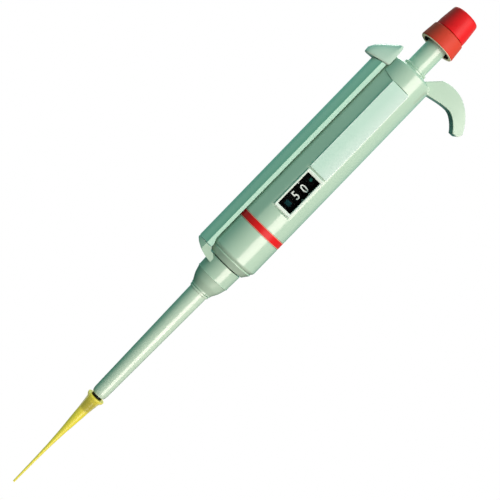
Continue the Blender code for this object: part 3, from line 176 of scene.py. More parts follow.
# Sizes of the label, the window and the counter drums, which have ten places each
LABEL_CORNER = 0.0006
LABEL_EDGE = 0.00028
FRAME_HALF_WIDTH = 0.00435
FRAME_EDGE = 0.0002
FRAME_INSET = 0.0004
FRAME_CORNER = 0.0008
FRAME_PLUG_WALL = 0.0004
WINDOW_HALF_WIDTH = 0.00345
WINDOW_HALF_LENGTH = 0.00875
DRUM_BORE = 0.0063
DRUM_CHAMFER = 0.0002
DIGIT_SIZE = 0.0057
DIGIT_NARROW = 0.80
DIGIT_WEIGHT = 0.00007
DIGIT_RISE = 0.00004
DIGIT_DEPTH = 0.0002
DIGIT_SLICES = 8
DIGIT_SLICE = 0.0003
UNITS_LEAD = math.radians(4)
HUNDREDS_MARK = 0.0026
DOT_COUNT = 10
DOT_RADIUS = 0.0007
DOT_SIDES = 16
FRONT = math.radians(270)
PLACE_STEP = math.radians(36)

# Sizes of the ejector bar and its channel
BAR_SHOULDER_X = 0.0124
BAR_OUTER_X = 0.0163
BAR_BACK_X = 0.0080
BAR_HALF_WIDTH = 0.0056
BAR_SLANT = 0.64
BAR_NOSE = 0.4
BAR_TOP = -0.0042
BAR_EDGE = 0.00025
BAR_GAP = 0.0008
BAR_FOOT_GAP_RADIUS = 0.0113
CHANNEL_HALF_WIDTH = 0.0042
CHANNEL_OUTER_X = 0.0149
CHANNEL_BACK_X = 0.0070
CHANNEL_FOOT_WALL = 0.005

# Sizes of the thumb key, its levels as shares of height, reach and width
KEY_SLOPE = 0.2
KEY_JOINT = 0.0003
KEY_HALF_WIDTH = 0.0061
KEY_ROOT_X = 0.0110
KEY_REACH = 0.0092
KEY_HEIGHT = 0.0098
KEY_EDGE = 0.0003
KEY_GAP = 0.00035
KEY_CUT_HEIGHT = 0.0110
KEY_LEVELS = (
    (0.00, 0.98, 0.96),
    (0.06, 1.02, 1.00),
    (0.26, 1.03, 1.00),
    (0.50, 0.87, 0.98),
    (0.72, 0.60, 0.95),
    (0.90, 0.30, 0.88),
    (1.00, 0.16, 0.78),
)

# Sizes of the ejector head, its arm and the sleeve
NECK_GAP = 0.00045
NECK_HEIGHT = 0.0077
NECK_BORE = 0.0066
NECK_FOOT_BORE = 0.0064
HEAD_FOOT_RADIUS = 0.00515
HEAD_HOLE = 0.0043
ARM_HALF_WIDTH = 0.007
ARM_BACK_X = 0.0030
ARM_EDGE = 0.0004
ARM_PLAN_TOP = -0.1065
ARM_PLAN_FOOT = -0.1130
ARM_HOLE_TOP = -0.1000
ARM_HOLE_FOOT = -0.1300
SLEEVE_RADIUS = 0.00405
SLEEVE_BORE = 0.00305
SLEEVE_RING_RADIUS = 0.0049
SLEEVE_RING_GAP = 0.0003
SLEEVE_MOUTH = 0.00285

# Sizes of the tip cone and tip
CONE_TOP = -0.1763
CONE_RADIUS = 0.00245
CONE_SOCKET = -0.1827
CONE_SOCKET_RADIUS = 0.0019
CONE_END = -0.1946
CONE_HOLE = 0.0008
TIP_TOP = -0.1867
TIP_END = -0.2377

# Places of the second colours, which are painted highlights and painted shade
BAND_LINE = 0.0003
LABEL_LINE = 0.00035
RIM_LINE = 0.0002
BAR_LINE = 0.00005
HOOK_START = 0.0120
HOOK_DOWN = (-0.6, 0, -0.8)
CONE_MIDDLE = -0.1916


def handle_radius(z):
    """The handle's outer radius at a height, without its flats."""
    share = (HANDLE_TOP - z) / (HANDLE_TOP - HANDLE_FOOT)
    return HANDLE_RADIUS + HANDLE_FLARE * min(max(share, 0), 1)


# Shader nodes
class Socket:
    """A node's output that takes part in plain sums."""

    def __init__(self, tree, output):
        self.tree = tree
        self.output = output

    def node(self, kind, inputs=None, settings=None, output=0):
        """A new node in the same tree, its inputs given by name or number."""
        made = self.tree.nodes.new(kind)
        for name, value in (settings or {}).items():
            setattr(made, name, value)
        for key, value in (inputs or {}).items():
            join_up(self.tree, value, made.inputs[key])
        return Socket(self.tree, made.outputs[output])

    def sum(self, operation, first, second):
        """A maths node on two numbers or sockets."""
        return self.node("ShaderNodeMath", {0: first, 1: second}, {"operation": operation})

    def __add__(self, other):
        return self.sum("ADD", self, other)

    def __radd__(self, other):
        return self.sum("ADD", other, self)

    def __sub__(self, other):
        return self.sum("SUBTRACT", self, other)

    def __rsub__(self, other):
        return self.sum("SUBTRACT", other, self)

    def __mul__(self, other):
        return self.sum("MULTIPLY", self, other)

    def __rmul__(self, other):
        return self.sum("MULTIPLY", other, self)

    def __gt__(self, other):
        return self.sum("GREATER_THAN", self, other)

    def __lt__(self, other):
        return self.sum("LESS_THAN", self, other)

    def __abs__(self):
        return self.sum("ABSOLUTE", self, 0.0)

    def ramp(self, low, high, start=0.0, end=1.0):
        """A share that goes from start to end as this socket goes from low to high."""
        return self.node("ShaderNodeMapRange", {"Value": self, 1: low, 2: high, 3: start, 4: end})

    def blend(self, low, high):
        """A colour between two, by this socket."""
        inputs = {"Factor": self, "A": low, "B": high}
        return self.node("ShaderNodeMix", inputs, {"data_type": "RGBA"}, 2)


def join_up(tree, value, place):
    """Links a socket to an input, or sets the input to a constant."""
    if isinstance(value, Socket):
        tree.links.new(value.output, place)
    elif isinstance(value, tuple) and len(value) == 3 and len(place.default_value) == 4:
        place.default_value = (*value, 1.0)
    else:
        place.default_value = value


def material(name, **inputs):
    """A material with one Principled shader and its place in the object as a starting socket."""
    made = bpy.data.materials.new(name)
    made.use_nodes = True
    tree = made.node_tree
    shader = tree.nodes["Principled BSDF"]
    for key, value in inputs.items():
        join_up(tree, value, shader.inputs[key.replace("_", " ")])
    place = tree.nodes.new("ShaderNodeTexCoord")
    return made, shader, Socket(tree, place.outputs["Object"])


def along(place, axis):
    """One coordinate of a place socket: 0, 1 or 2."""
    return place.node("ShaderNodeSeparateXYZ", {"Vector": place}, output=axis)


def moulded(name, colour, roughness=0.24, tone=0.04, coat=0.8, gloss=1.0, metallic=0.0, painted_light_and_shade=None):
    """An even colour, faintly clouded and smudged, with a second colour of painted highlight or painted
    shade in one place if it is given.
    """
    made, shader, place = material(
        name, Specular_IOR_Level=gloss, Coat_Weight=coat, Coat_Roughness=0.08, Metallic=metallic
    )
    tree = made.node_tree
    cloud = place.node("ShaderNodeTexNoise", {"Vector": place, "Scale": 55.0, "Detail": 2.0})
    smudge = place.node("ShaderNodeTexNoise", {"Vector": place, "Scale": 160.0, "Detail": 3.0})
    deep = tuple(part * (1 - tone) for part in colour)
    light = tuple(min(part * (1 + tone), 1.0) for part in colour)
    shade = cloud.blend(deep, light)
    if painted_light_and_shade:
        second, where = painted_light_and_shade
        shade = where(place).blend(shade, second)
    join_up(tree, shade, shader.inputs["Base Color"])
    join_up(tree, smudge * 0.08 + (roughness - 0.04), shader.inputs["Roughness"])
    return made


def band_painted_edge_highlights(place):
    """Share of the second colour on the band: a painted highlight along its upper and lower edge."""
    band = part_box("colour_band")
    reach = along(place, 2) - (band[0].z + band[1].z) / 2
    return abs(reach) > (band[1].z - band[0].z) / 2 - BAND_LINE


def skirt_rim_painted_highlight(place):
    """Share of the second colour on the button's skirt: a painted highlight along its lower rim."""
    return along(place, 2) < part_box("push_button")[0].z + RIM_LINE


def bar_side_painted_shade(place):
    """Share of the second colour on the ejector bar: painted shade down its outer side, strongest beside its
    front edge.
    """
    across = along(place, 0)
    return across.ramp(-BAR_OUTER_X, -BAR_SHOULDER_X) * (across < -BAR_SHOULDER_X - BAR_LINE)


def label_painted_highlight(place):
    """Share of the second colour on the label: a painted highlight along its two long edges, and a painted
    sheen that grows towards its right.
    """
    across = along(place, 0)
    edge = abs(across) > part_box("label_plate")[1].x - LABEL_LINE
    side = across.ramp(-0.001, 0.004, 0.0, 0.6)
    return edge.sum("MAXIMUM", edge, side)


def hook_underside_painted_shade(place):
    """Share of the second colour on the handle: painted shade, dark green, on the underside of the finger
    hook where it faces down and in.
    """
    facing = place.node("ShaderNodeTexCoord", output="Normal")
    dot = {"operation": "DOT_PRODUCT"}
    down = place.node("ShaderNodeVectorMath", {0: facing, 1: HOOK_DOWN}, dot, "Value")
    return down.ramp(0.45, 0.85) * (along(place, 0) > HOOK_START)


def cone_painted_shade(place):
    """Share of the second colour on the tip: painted shade where the black cone stands inside it."""
    return abs(along(place, 2) - CONE_MIDDLE).ramp(0.0034, 0.0016)


# The handle's mint has painted shade under the finger hook
mint = moulded("mint_plastic", (0.56, 0.71, 0.57), painted_light_and_shade=((0.05, 0.17, 0.12), hook_underside_painted_shade))
# The ejector's mint has painted shade down the bar's outer side
ejector_mint = moulded("ejector_plastic", (0.66, 0.92, 0.77), painted_light_and_shade=((0.25, 0.56, 0.43), bar_side_painted_shade))
sleeve_mint = moulded("sleeve_plastic", (0.67, 0.79, 0.65))
key_mint = moulded("key_plastic", (0.74, 0.88, 0.76))
# The label's mint has a painted highlight on its edges and a painted sheen towards its right
label_mint = moulded("label_plastic", (0.64, 0.84, 0.74), painted_light_and_shade=((0.88, 0.96, 0.92), label_painted_highlight))
frame_mint = moulded("frame_plastic", (0.90, 0.95, 0.88))
# The band's red has a painted highlight along its edges
band_red = moulded(
    "band_red", (0.86, 0.006, 0.010), 0.4, coat=0.1, gloss=0.3, painted_light_and_shade=((0.95, 0.42, 0.30), band_painted_edge_highlights)
)
# The skirt's red has a painted highlight along its lower rim
skirt_red = moulded(
    "skirt_red", (0.82, 0.058, 0.030), 0.5, coat=0.0, gloss=0.3, painted_light_and_shade=((0.95, 0.78, 0.60), skirt_rim_painted_highlight)
)
cap_red = moulded("cap_red", (0.95, 0.006, 0.012), 0.4, coat=0.0, gloss=0.3)
drum_black = moulded("drum_black", (0.003, 0.003, 0.003), 0.8, coat=0.0, gloss=0.03)
print_white = moulded("print_white", (0.84, 0.87, 0.85), 0.5, coat=0.0)
print_teal = moulded("print_teal", (0.008, 0.10, 0.085), 0.7, coat=0.0, gloss=0.1)
print_dark = moulded("print_dark", (0.002, 0.035, 0.040), 0.7, coat=0.0, gloss=0.1)
black = moulded("black_plastic", (0.006, 0.006, 0.006), 0.4, coat=0.0, gloss=0.2)
ivory = moulded("ivory_plastic", (0.70, 0.69, 0.64), 0.45)
rubber = moulded("rubber", (0.02, 0.02, 0.02), 0.7, coat=0.0)
steel = moulded("steel", (0.56, 0.56, 0.57), 0.25, coat=0.0, metallic=1.0)
brass = moulded("brass", (0.72, 0.53, 0.24), 0.32, coat=0.0, metallic=1.0)


def clear_lens():
    """A clear cover, with only the faintest smudges to be seen."""
    made, shader, place = material("clear_lens", Base_Color=(0.004, 0.006, 0.006), Specular_IOR_Level=0.1)
    smudge = place.node("ShaderNodeTexNoise", {"Vector": place, "Scale": 300.0, "Detail": 2.0})
    join_up(made.node_tree, smudge * 0.1 + 0.02, shader.inputs["Roughness"])
    join_up(made.node_tree, smudge * 0.01, shader.inputs["Alpha"])
    return made


def tip_yellow():
    """A clear yellow plastic, clearest round the cone, with painted shade where the cone shows through and a
    faint painted glow in place of light passing through it.
    """
    shaded = ((0.44, 0.36, 0.05), cone_painted_shade)
    made = moulded("tip_yellow", (0.76, 0.64, 0.06), 0.2, coat=0.0, gloss=0.8, painted_light_and_shade=shaded)
    tree = made.node_tree
    shader = tree.nodes["Principled BSDF"]
    place = Socket(tree, tree.nodes.new("ShaderNodeTexCoord").outputs["Object"])
    clear = abs(along(place, 2) - CONE_MIDDLE).ramp(0.0022, 0.0062, 0.6, 0.88)
    join_up(tree, clear, shader.inputs["Alpha"])
    # Emission: a faint painted glow in place of light passing through the clear plastic
    join_up(tree, (0.70, 0.61, 0.10), shader.inputs["Emission Color"])
    join_up(tree, 0.3, shader.inputs["Emission Strength"])
    return made


glass = clear_lens()
yellow = tip_yellow()


# Modelling
def finished(name, mesh, paint, body, nodes, crease=30):
    """An object from a bmesh, faces turned outwards, that stands for CAD nodes and rides on their body."""
    bmesh.ops.remove_doubles(mesh, verts=mesh.verts, dist=MERGE_DISTANCE)
    bmesh.ops.recalc_face_normals(mesh, faces=mesh.faces)
    data = bpy.data.meshes.new(name)
    mesh.to_mesh(data)
    mesh.free()
    data.materials.append(paint)
    data.shade_smooth()
    data.set_sharp_from_angle(angle=math.radians(crease))
    made = bpy.data.objects.new(name, data)
    bpy.context.scene.collection.objects.link(made)
    even = made.modifiers.new("even_shading", "WEIGHTED_NORMAL")
    even.keep_sharp = True
    if body:
        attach(made, body)
        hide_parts(*nodes)
    return made


def stitch(mesh, first, second):
    """Faces between two closed rings of the same length, or a ring and a single point."""
    count = max(len(first), len(second))
    for index in range(count):
        after = (index + 1) % count
        if len(first) == 1:
            mesh.faces.new((first[0], second[index], second[after]))
        elif len(second) == 1:
            mesh.faces.new((first[index], first[after], second[0]))
        else:
            mesh.faces.new((first[index], first[after], second[after], second[index]))


def turned(outline, sides=ROUND_SIDES):
    """A closed section of (radius, height) points, turned about the axis."""
    mesh = bmesh.new()
    rings = []
    for radius, z in outline:
        if radius < ON_AXIS:
            rings.append([mesh.verts.new((0, 0, z))])
            continue
        angles = [math.tau * index / sides for index in range(sides)]
        rings.append([mesh.verts.new((radius * math.cos(a), radius * math.sin(a), z)) for a in angles])
    for first, second in zip(rings, rings[1:] + rings[:1]):
        if len(first) + len(second) > 2:
            stitch(mesh, first, second)
    return mesh


def softened(points, steps=5):
    """An outline of (across, up, rounding) points, with each corner rounded."""
    found = []
    for index, (across, up, rounding) in enumerate(points):
        corner = Vector((across, up))
        if not rounding:
            found.append(tuple(corner))
            continue
        before = Vector(points[index - 1][:2])
        after = Vector(points[(index + 1) % len(points)][:2])
        start = corner + (before - corner).normalized() * min(rounding, (before - corner).length * 0.49)
        end = corner + (after - corner).normalized() * min(rounding, (after - corner).length * 0.49)
        for step in range(steps + 1):
            t = step / steps
            found.append(tuple(start * (1 - t) ** 2 + corner * (2 * t * (1 - t)) + end * t**2))
    return found


def turned_piece(name, outline, paint, body, nodes, sides=ROUND_SIDES):
    """A finished piece turned about the axis from (radius, height, rounding) points."""
    return finished(name, turned(softened(outline), sides), paint, body, nodes)


def bezier(start, pull_start, pull_end, end, steps=12):
    """Points on a cubic Bezier curve, without its end point."""
    found = []
    for index in range(steps):
        t = index / steps
        weights = ((1 - t) ** 3, 3 * t * (1 - t) ** 2, 3 * t * t * (1 - t), t**3)
        corners = (start, pull_start, pull_end, end)
        found.append(tuple(sum(w * c[k] for w, c in zip(weights, corners)) for k in (0, 1)))
    return found


def lofted(rings):
    """A body through rings of (x, y, z) points, closed at both ends."""
    mesh = bmesh.new()
    rows = [[mesh.verts.new(point) for point in ring] for ring in rings]
    for first, second in zip(rows, rows[1:]):
        stitch(mesh, first, second)
    mesh.faces.new(rows[0])
    mesh.faces.new(rows[-1])
    return mesh


def bevelled(mesh, size, segments=3, angle=40):
    """Rounds every edge of a mesh that is sharper than an angle."""
    bmesh.ops.recalc_face_normals(mesh, faces=mesh.faces)
    least = math.radians(angle)
    sharp = [edge for edge in mesh.edges if edge.is_manifold and edge.calc_face_angle() > least]
    bmesh.ops.bevel(
        mesh, geom=sharp, offset=size, segments=segments, profile=0.5, affect="EDGES", clamp_overlap=True
    )
    return mesh


def cuboid(low, high):
    """A box from its lowest to its highest corner."""
    mesh = bmesh.new()
    bmesh.ops.create_cube(mesh, size=1)
    size = Vector(high) - Vector(low)
    bmesh.ops.scale(mesh, vec=size, verts=mesh.verts)
    bmesh.ops.translate(mesh, vec=(Vector(high) + Vector(low)) / 2, verts=mesh.verts)
    return mesh


def added(mesh, other):
    """One mesh with another's faces put in."""
    data = bpy.data.meshes.new("passing")
    other.to_mesh(data)
    other.free()
    mesh.from_mesh(data)
    bpy.data.meshes.remove(data)
    return mesh


def carved(mesh, cutter, operation="DIFFERENCE"):
    """A mesh cut by another, or with INTERSECT the part that both share."""
    sides = []
    for source in (mesh, cutter):
        bmesh.ops.remove_doubles(source, verts=source.verts, dist=MERGE_DISTANCE)
        bmesh.ops.recalc_face_normals(source, faces=source.faces)
        data = bpy.data.meshes.new("passing")
        source.to_mesh(data)
        source.free()
        helper = bpy.data.objects.new("passing", data)
        bpy.context.scene.collection.objects.link(helper)
        sides.append(helper)
    cut = sides[0].modifiers.new("cut", "BOOLEAN")
    cut.operation = operation
    cut.object = sides[1]
    bpy.context.view_layer.update()
    graph = bpy.context.evaluated_depsgraph_get()
    made = bmesh.new()
    made.from_mesh(sides[0].evaluated_get(graph).to_mesh())
    for helper in sides:
        data = helper.data
        bpy.data.objects.remove(helper)
        bpy.data.meshes.remove(data)
    return made


# Handle
def soft_least(first, second, softness):
    """The smaller of two lengths, rounded where they meet."""
    near = max(softness - abs(first - second), 0) / softness
    return min(first, second) - near * near * softness / 4


def eased(value):
    """A smooth step from 0 to 1."""
    value = min(max(value, 0), 1)
    return value * value * (3 - 2 * value)


def skin_radius(angle, z):
    """The housing's outer radius at an angle from the front, positive to the right, and a height."""
    full = handle_radius(z)
    radius = full
    across = math.cos(angle)
    if across > FRONT_SIDE:
        reach = min(eased((FLAT_TOP - z) / RAMP), eased((z - FLAT_FOOT) / FLAT_FOOT_RAMP))
        flat = FLAT_DISTANCE / across
        if reach > 0 and flat < full + FLAT_SOFTNESS:
            radius += (soft_least(full, flat, FLAT_SOFTNESS) - full) * reach
    across = math.cos(angle - FACET_DIRECTION)
    top = FACET_TOP + FACET_TOP_RISE * min(max((FACET_DIRECTION - angle) / FACET_HALF_ANGLE, -1), 1)
    if across > FRONT_SIDE and z < top:
        run = (top - z) / FACET_LENGTH
        facet = (HANDLE_RADIUS - FACET_DEPTH * (1 - run)) / across
        if facet < radius + FLAT_SOFTNESS:
            radius += (soft_least(radius, facet, FLAT_SOFTNESS) - radius) * eased((top - z) / RAMP)
    return radius


def shell_angles():
    """Angles round the handle, close together at the front where its flats are."""
    front = [math.radians(FINE_START + FINE_STEP * index) for index in range(FINE_COUNT)]
    coarse = [COARSE_SPAN * index / COARSE_COUNT for index in range(1, COARSE_COUNT)]
    back = [math.radians(COARSE_START + turn) for turn in coarse]
    return front + back


def stepped(start, end, step):
    """Heights from one to another, evenly spaced."""
    count = max(round(abs(end - start) / step), 1)
    return [start + (end - start) * index / count for index in range(count)]


def shell_mesh():
    """The handle's moulded tube with its flats, band groove and open bottom."""
    mesh = bmesh.new()
    angles = shell_angles()
    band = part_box("colour_band")
    groove_top = band[1].z + GROOVE_GAP
    groove_foot = band[0].z - GROOVE_GAP
    shoulder_z = HANDLE_TOP - HANDLE_SHOULDER
    scoop_top = FACET_TOP + FACET_TOP_RISE + SHORT_RISE
    scoop_foot = min(FACET_TOP - FACET_TOP_RISE, FLAT_TOP) - RAMP - SHORT_RISE
    rings = []

    def ring(z, radius_at):
        points = []
        for angle in angles:
            radius = radius_at(angle)
            points.append(mesh.verts.new((radius * math.sin(angle), -radius * math.cos(angle), z)))
        rings.append(points)

    ring(HANDLE_TOP, lambda angle: COLLAR_HOLE)
    ring(HANDLE_TOP, lambda angle: HANDLE_RADIUS - 2 * HANDLE_SHOULDER)
    for step in range(ROUND_STEPS):
        turn = math.pi / 2 * (1 - step / ROUND_STEPS)
        inset = HANDLE_SHOULDER * (1 - math.cos(turn))
        z = shoulder_z + HANDLE_SHOULDER * math.sin(turn)
        ring(z, lambda angle: skin_radius(angle, z) - inset)
    heights = (
        stepped(shoulder_z, scoop_top, SHOULDER_RISE)
        + stepped(scoop_top, scoop_foot, SHORT_RISE)
        + stepped(scoop_foot, FLAT_FOOT + 2 * SHORT_RISE, LONG_RISE)
        + stepped(FLAT_FOOT + 2 * SHORT_RISE, FLAT_FOOT - SHORT_RISE, SHORT_RISE)
        + stepped(FLAT_FOOT - SHORT_RISE, groove_top, LONG_RISE)
        + [groove_top]
    )
    for z in heights:
        ring(z, lambda angle: skin_radius(angle, z))
    for z in (groove_top, groove_foot):
        ring(z, lambda angle: handle_radius(groove_top) - GROOVE_DEPTH)
    for z in stepped(groove_foot, HANDLE_FOOT + FOOT_ROUND, LONG_RISE):
        ring(z, lambda angle: handle_radius(z))
    for step in range(ROUND_STEPS + 1):
        share = step / ROUND_STEPS
        z = HANDLE_FOOT + FOOT_ROUND * (1 - share)
        ring(z, lambda angle: handle_radius(z) - FOOT_INSET * share**2)
    ring(HANDLE_FOOT, lambda angle: HANDLE_BORE)
    ring(HANDLE_TOP - TOP_WALL, lambda angle: HANDLE_BORE)
    ring(HANDLE_TOP - TOP_WALL, lambda angle: COLLAR_HOLE)
    for first, second in zip(rings, rings[1:] + rings[:1]):
        stitch(mesh, first, second)
    return mesh


def hook_mesh():
    """The finger hook's solid, from its side outline."""
    tip_corners = [
        (0.0280, -0.0030, 0),
        (*HOOK_TIP_LOW, 0.0004),
        (0.0320, -0.0040, 0.0012),
        (*HOOK_TIP_HIGH, 0),
    ]
    outline = [
        *bezier((HOOK_WALL_X, -0.0006), (0.0148, 0.0003), (0.0177, 0.0013), HOOK_CREST),
        *bezier(HOOK_CREST, (0.0240, 0.0013), (0.0275, -0.0018), HOOK_TIP_LOW),
        *softened(tip_corners)[1:-1],
        *bezier(HOOK_TIP_HIGH, (0.0304, 0.0031), (0.0250, 0.0092), HOOK_SHOULDER),
        *bezier(HOOK_SHOULDER, (0.0153, 0.0092), (0.0131, 0.00895), HOOK_ROOT),
        HOOK_ROOT,
        (HOOK_INNER_X, 0.0027),
        (HOOK_INNER_X, HOOK_FOOT_Z),
        (HOOK_WALL_X, HOOK_FOOT_Z),
    ]
    rings = [[(x, y, z) for x, z in outline] for y in (-HOOK_HALF_WIDTH, HOOK_HALF_WIDTH)]
    mesh = bevelled(lofted(rings), HOOK_EDGE, segments=5, angle=70)
    hole = turned(
        [
            (0, HOOK_HOLE_TOP),
            (COLLAR_HOLE, HOOK_HOLE_TOP),
            (COLLAR_HOLE, HOOK_HOLE_FOOT),
            (0, HOOK_HOLE_FOOT),
        ]
    )
    return carved(mesh, hole)


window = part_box("window_bezel")
opening = cuboid(
    (-OPENING_HALF_WIDTH, OPENING_FRONT, window[0].z + OPENING_INSET),
    (OPENING_HALF_WIDTH, OPENING_BACK, window[1].z - OPENING_INSET),
)
shell = added(carved(shell_mesh(), opening), hook_mesh())
finished("handle_shell", shell, mint, "handle", ["handle_housing"])

# Round pieces on the handle
turned_piece(
    "top_bush",
    [
        (COLLAR_BORE, COLLAR_LIP_TOP, 0.0002),
        (COLLAR_LIP_RADIUS, COLLAR_LIP_TOP, 0.0003),
        (COLLAR_LIP_RADIUS, 0.0034, 0.0001),
        (0.0053, 0.0032, 0),
        (0.0054, 0.0030, 0),
        (COLLAR_LIP_RADIUS, COLLAR_FLANGE_TOP, 0),
        (COLLAR_FLANGE_RADIUS, COLLAR_FLANGE_TOP, 0),
        (COLLAR_FLANGE_RADIUS, COLLAR_FLANGE_FOOT, 0),
        (COLLAR_BORE, COLLAR_FLANGE_FOOT, 0),
    ],
    mint,
    "handle",
    ["top_collar"],
)

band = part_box("colour_band")
band_radius = band[1].x
turned_piece(
    "band",
    [
        (band_radius - BAND_THICKNESS, band[1].z, 0),
        (band_radius, band[1].z, 0.0002),
        (band_radius, band[0].z, 0.0002),
        (band_radius - BAND_THICKNESS, band[0].z, 0),
    ],
    band_red,
    "handle",
    ["colour_band"],
)

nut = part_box("coupling_nut")
turned_piece(
    "nut",
    [
        (NUT_BORE, nut[1].z, 0),
        (NUT_SPIGOT_RADIUS, nut[1].z, 0.0003),
        (NUT_SPIGOT_RADIUS, NUT_TOP, 0),
        (0.0104, NUT_TOP, 0),
        (0.0108, -0.1050, 0.0001),
        (0.0087, NUT_FOOT, 0.0003),
        (NUT_HOLE, NUT_FOOT, 0.0002),
        (NUT_HOLE, NUT_ROOF, 0),
        (NUT_BORE, NUT_ROOF, 0),
    ],
    mint,
    "handle",
    ["coupling_nut"],
)

# Plunger stem, button and cap
turned_piece(
    "plunger_stem",
    [
        (STEM_BORE, STEM_TOP, 0),
        (STEM_RADIUS, STEM_TOP, 0.0003),
        (STEM_RADIUS, STEM_RIB_TOP, 0),
        (STEM_RIB_RADIUS, STEM_RIB_TOP, 0.0002),
        (STEM_RIB_RADIUS, STEM_RIB_FOOT, 0.0002),
        (STEM_RADIUS, STEM_RIB_FOOT, 0),
        (STEM_RADIUS, STEM_FOOT, 0),
        (STEM_BORE, STEM_FOOT, 0),
    ],
    mint,
    "button",
    ["plunger_tube"],
)
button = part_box("push_button")
rim = button[0].z
turned_piece(
    "button_skirt",
    [
        (BUTTON_BORE, button[1].z, 0),
        (SKIRT_TOP_RADIUS, button[1].z, 0.0004),
        (SKIRT_RADIUS, rim + 0.0006, 0.0006),
        (0.0080, rim, 0.0002),
        (0.0068, rim, 0.0002),
        (0.0065, rim + SKIRT_HOLLOW_DEPTH, 0.0003),
        (BUTTON_BORE, rim + SKIRT_HOLLOW_DEPTH, 0),
    ],
    skirt_red,
    "button",
    ["push_button"],
)
# Black liner inside the button skirt's hollow: painted shade, a dark sheet where the hollow lies in shadow
shade_liner = turned(
    [
        (0.0048, rim + 0.00135),
        (0.0064, rim + 0.00135),
        (0.00675, rim + 0.0003),
        (0.00665, rim + 0.0003),
        (0.0063, rim + 0.00125),
        (0.0048, rim + 0.00125),
    ]
)
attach(finished("button_recess", shade_liner, black, "", []), "button")
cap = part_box("button_cap")
cap_top = cap[1].z
turned_piece(
    "button_dome",
    [
        (0, cap_top - CAP_DIP, 0),
        (0.0030, cap_top - CAP_DIP, 0.0004),
        (0.0046, cap_top, 0.0006),
        (0.0062, cap_top, 0.0014),
        (CAP_RADIUS, cap_top - CAP_SIDE_HEIGHT, 0.0010),
        (CAP_RADIUS, CAP_SEAT, 0.0002),
        (CAP_STUD_RADIUS, CAP_SEAT, 0),
        (CAP_STUD_RADIUS, cap[0].z, 0.0003),
        (0, cap[0].z, 0),
    ],
    cap_red,
    "button",
    ["button_cap"],
)


# Label, window and counter
def plate_mesh(half_width, low_z, high_z, back, thickness, corner, edge):
    """A flat plate on the front, with round corners and softened edges."""
    outline = softened(
        [
            (-half_width, low_z, corner),
            (half_width, low_z, corner),
            (half_width, high_z, corner),
            (-half_width, high_z, corner),
        ],
        6,
    )
    rings = [[(x, y, z) for x, z in outline] for y in (back, back - thickness)]
    return bevelled(lofted(rings), edge, segments=3, angle=60)


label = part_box("label_plate")
thickness = label[1].y - label[0].y
finished(
    "label_panel",
    plate_mesh(label[1].x, label[0].z, label[1].z, label[1].y, thickness, LABEL_CORNER, LABEL_EDGE),
    label_mint,
    "handle",
    ["label_plate"],
)


def frame_mesh():
    """The window's frame, as a rectangular ring with a plug that reaches into the opening."""
    front = window[0].y
    back = label[1].y
    half_length = (window[1].z - window[0].z) / 2 - FRAME_INSET
    middle_z = (window[1].z + window[0].z) / 2
    section = (
        (FRAME_HALF_WIDTH, back),
        (FRAME_HALF_WIDTH, front + FRAME_EDGE),
        (FRAME_HALF_WIDTH - FRAME_EDGE, front),
        (WINDOW_HALF_WIDTH + FRAME_EDGE, front),
        (WINDOW_HALF_WIDTH, front + FRAME_EDGE),
        (WINDOW_HALF_WIDTH, window[1].y),
        (WINDOW_HALF_WIDTH + FRAME_PLUG_WALL, window[1].y),
        (WINDOW_HALF_WIDTH + FRAME_PLUG_WALL, back),
    )
    mesh = bmesh.new()
    rings = []
    for half_width, y in section:
        inset = FRAME_HALF_WIDTH - half_width
        whole_inset = FRAME_HALF_WIDTH - WINDOW_HALF_WIDTH
        reach = half_length - inset * (half_length - WINDOW_HALF_LENGTH) / whole_inset
        corner = max(FRAME_CORNER - inset, 0.0002)
        outline = softened(
            [
                (-half_width, middle_z - reach, corner),
                (half_width, middle_z - reach, corner),
                (half_width, middle_z + reach, corner),
                (-half_width, middle_z + reach, corner),
            ]
        )
        rings.append([mesh.verts.new((x, y, z)) for x, z in outline])
    for first, second in zip(rings, rings[1:] + rings[:1]):
        stitch(mesh, first, second)
    return mesh


finished("window_frame", frame_mesh(), frame_mint, "handle", ["window_bezel"])


# Counter drums
def text_mesh(sign):
    """A digit as a flat body with its middle at the origin."""
    curve = bpy.data.curves.new("sign", "FONT")
    curve.body = sign
    curve.size = DIGIT_SIZE
    curve.offset = DIGIT_WEIGHT
    curve.extrude = DIGIT_DEPTH / 2
    curve.resolution_u = 4
    curve.align_x = "CENTER"
    curve.align_y = "CENTER"
    helper = bpy.data.objects.new("passing", curve)
    bpy.context.scene.collection.objects.link(helper)
    bpy.context.view_layer.update()
    data = bpy.data.meshes.new_from_object(helper.evaluated_get(bpy.context.evaluated_depsgraph_get()))
    mesh = bmesh.new()
    mesh.from_mesh(data)
    bpy.data.objects.remove(helper)
    bpy.data.curves.remove(curve)
    bpy.data.meshes.remove(data)
    bmesh.ops.remove_doubles(mesh, verts=mesh.verts, dist=MERGE_DISTANCE)
    low = min(vertex.co.y for vertex in mesh.verts)
    high = max(vertex.co.y for vertex in mesh.verts)
    bmesh.ops.translate(mesh, verts=mesh.verts, vec=(0, -(low + high) / 2, 0))
    return mesh


def wrapped(mesh, radius, z, angle):
    """A flat body laid round a drum: its X along the axis, its top towards smaller angles."""
    for level in range(-DIGIT_SLICES, DIGIT_SLICES + 1):
        geometry = mesh.verts[:] + mesh.edges[:] + mesh.faces[:]
        cut = (0, level * DIGIT_SLICE, 0)
        bmesh.ops.bisect_plane(mesh, geom=geometry, plane_co=cut, plane_no=(0, 1, 0))
    for vertex in mesh.verts:
        across, up, out = vertex.co
        turn = angle - up / radius
        reach = radius + DIGIT_RISE - DIGIT_DEPTH / 2 + out
        vertex.co = (reach * math.cos(turn), reach * math.sin(turn), z + across * DIGIT_NARROW)
    return mesh


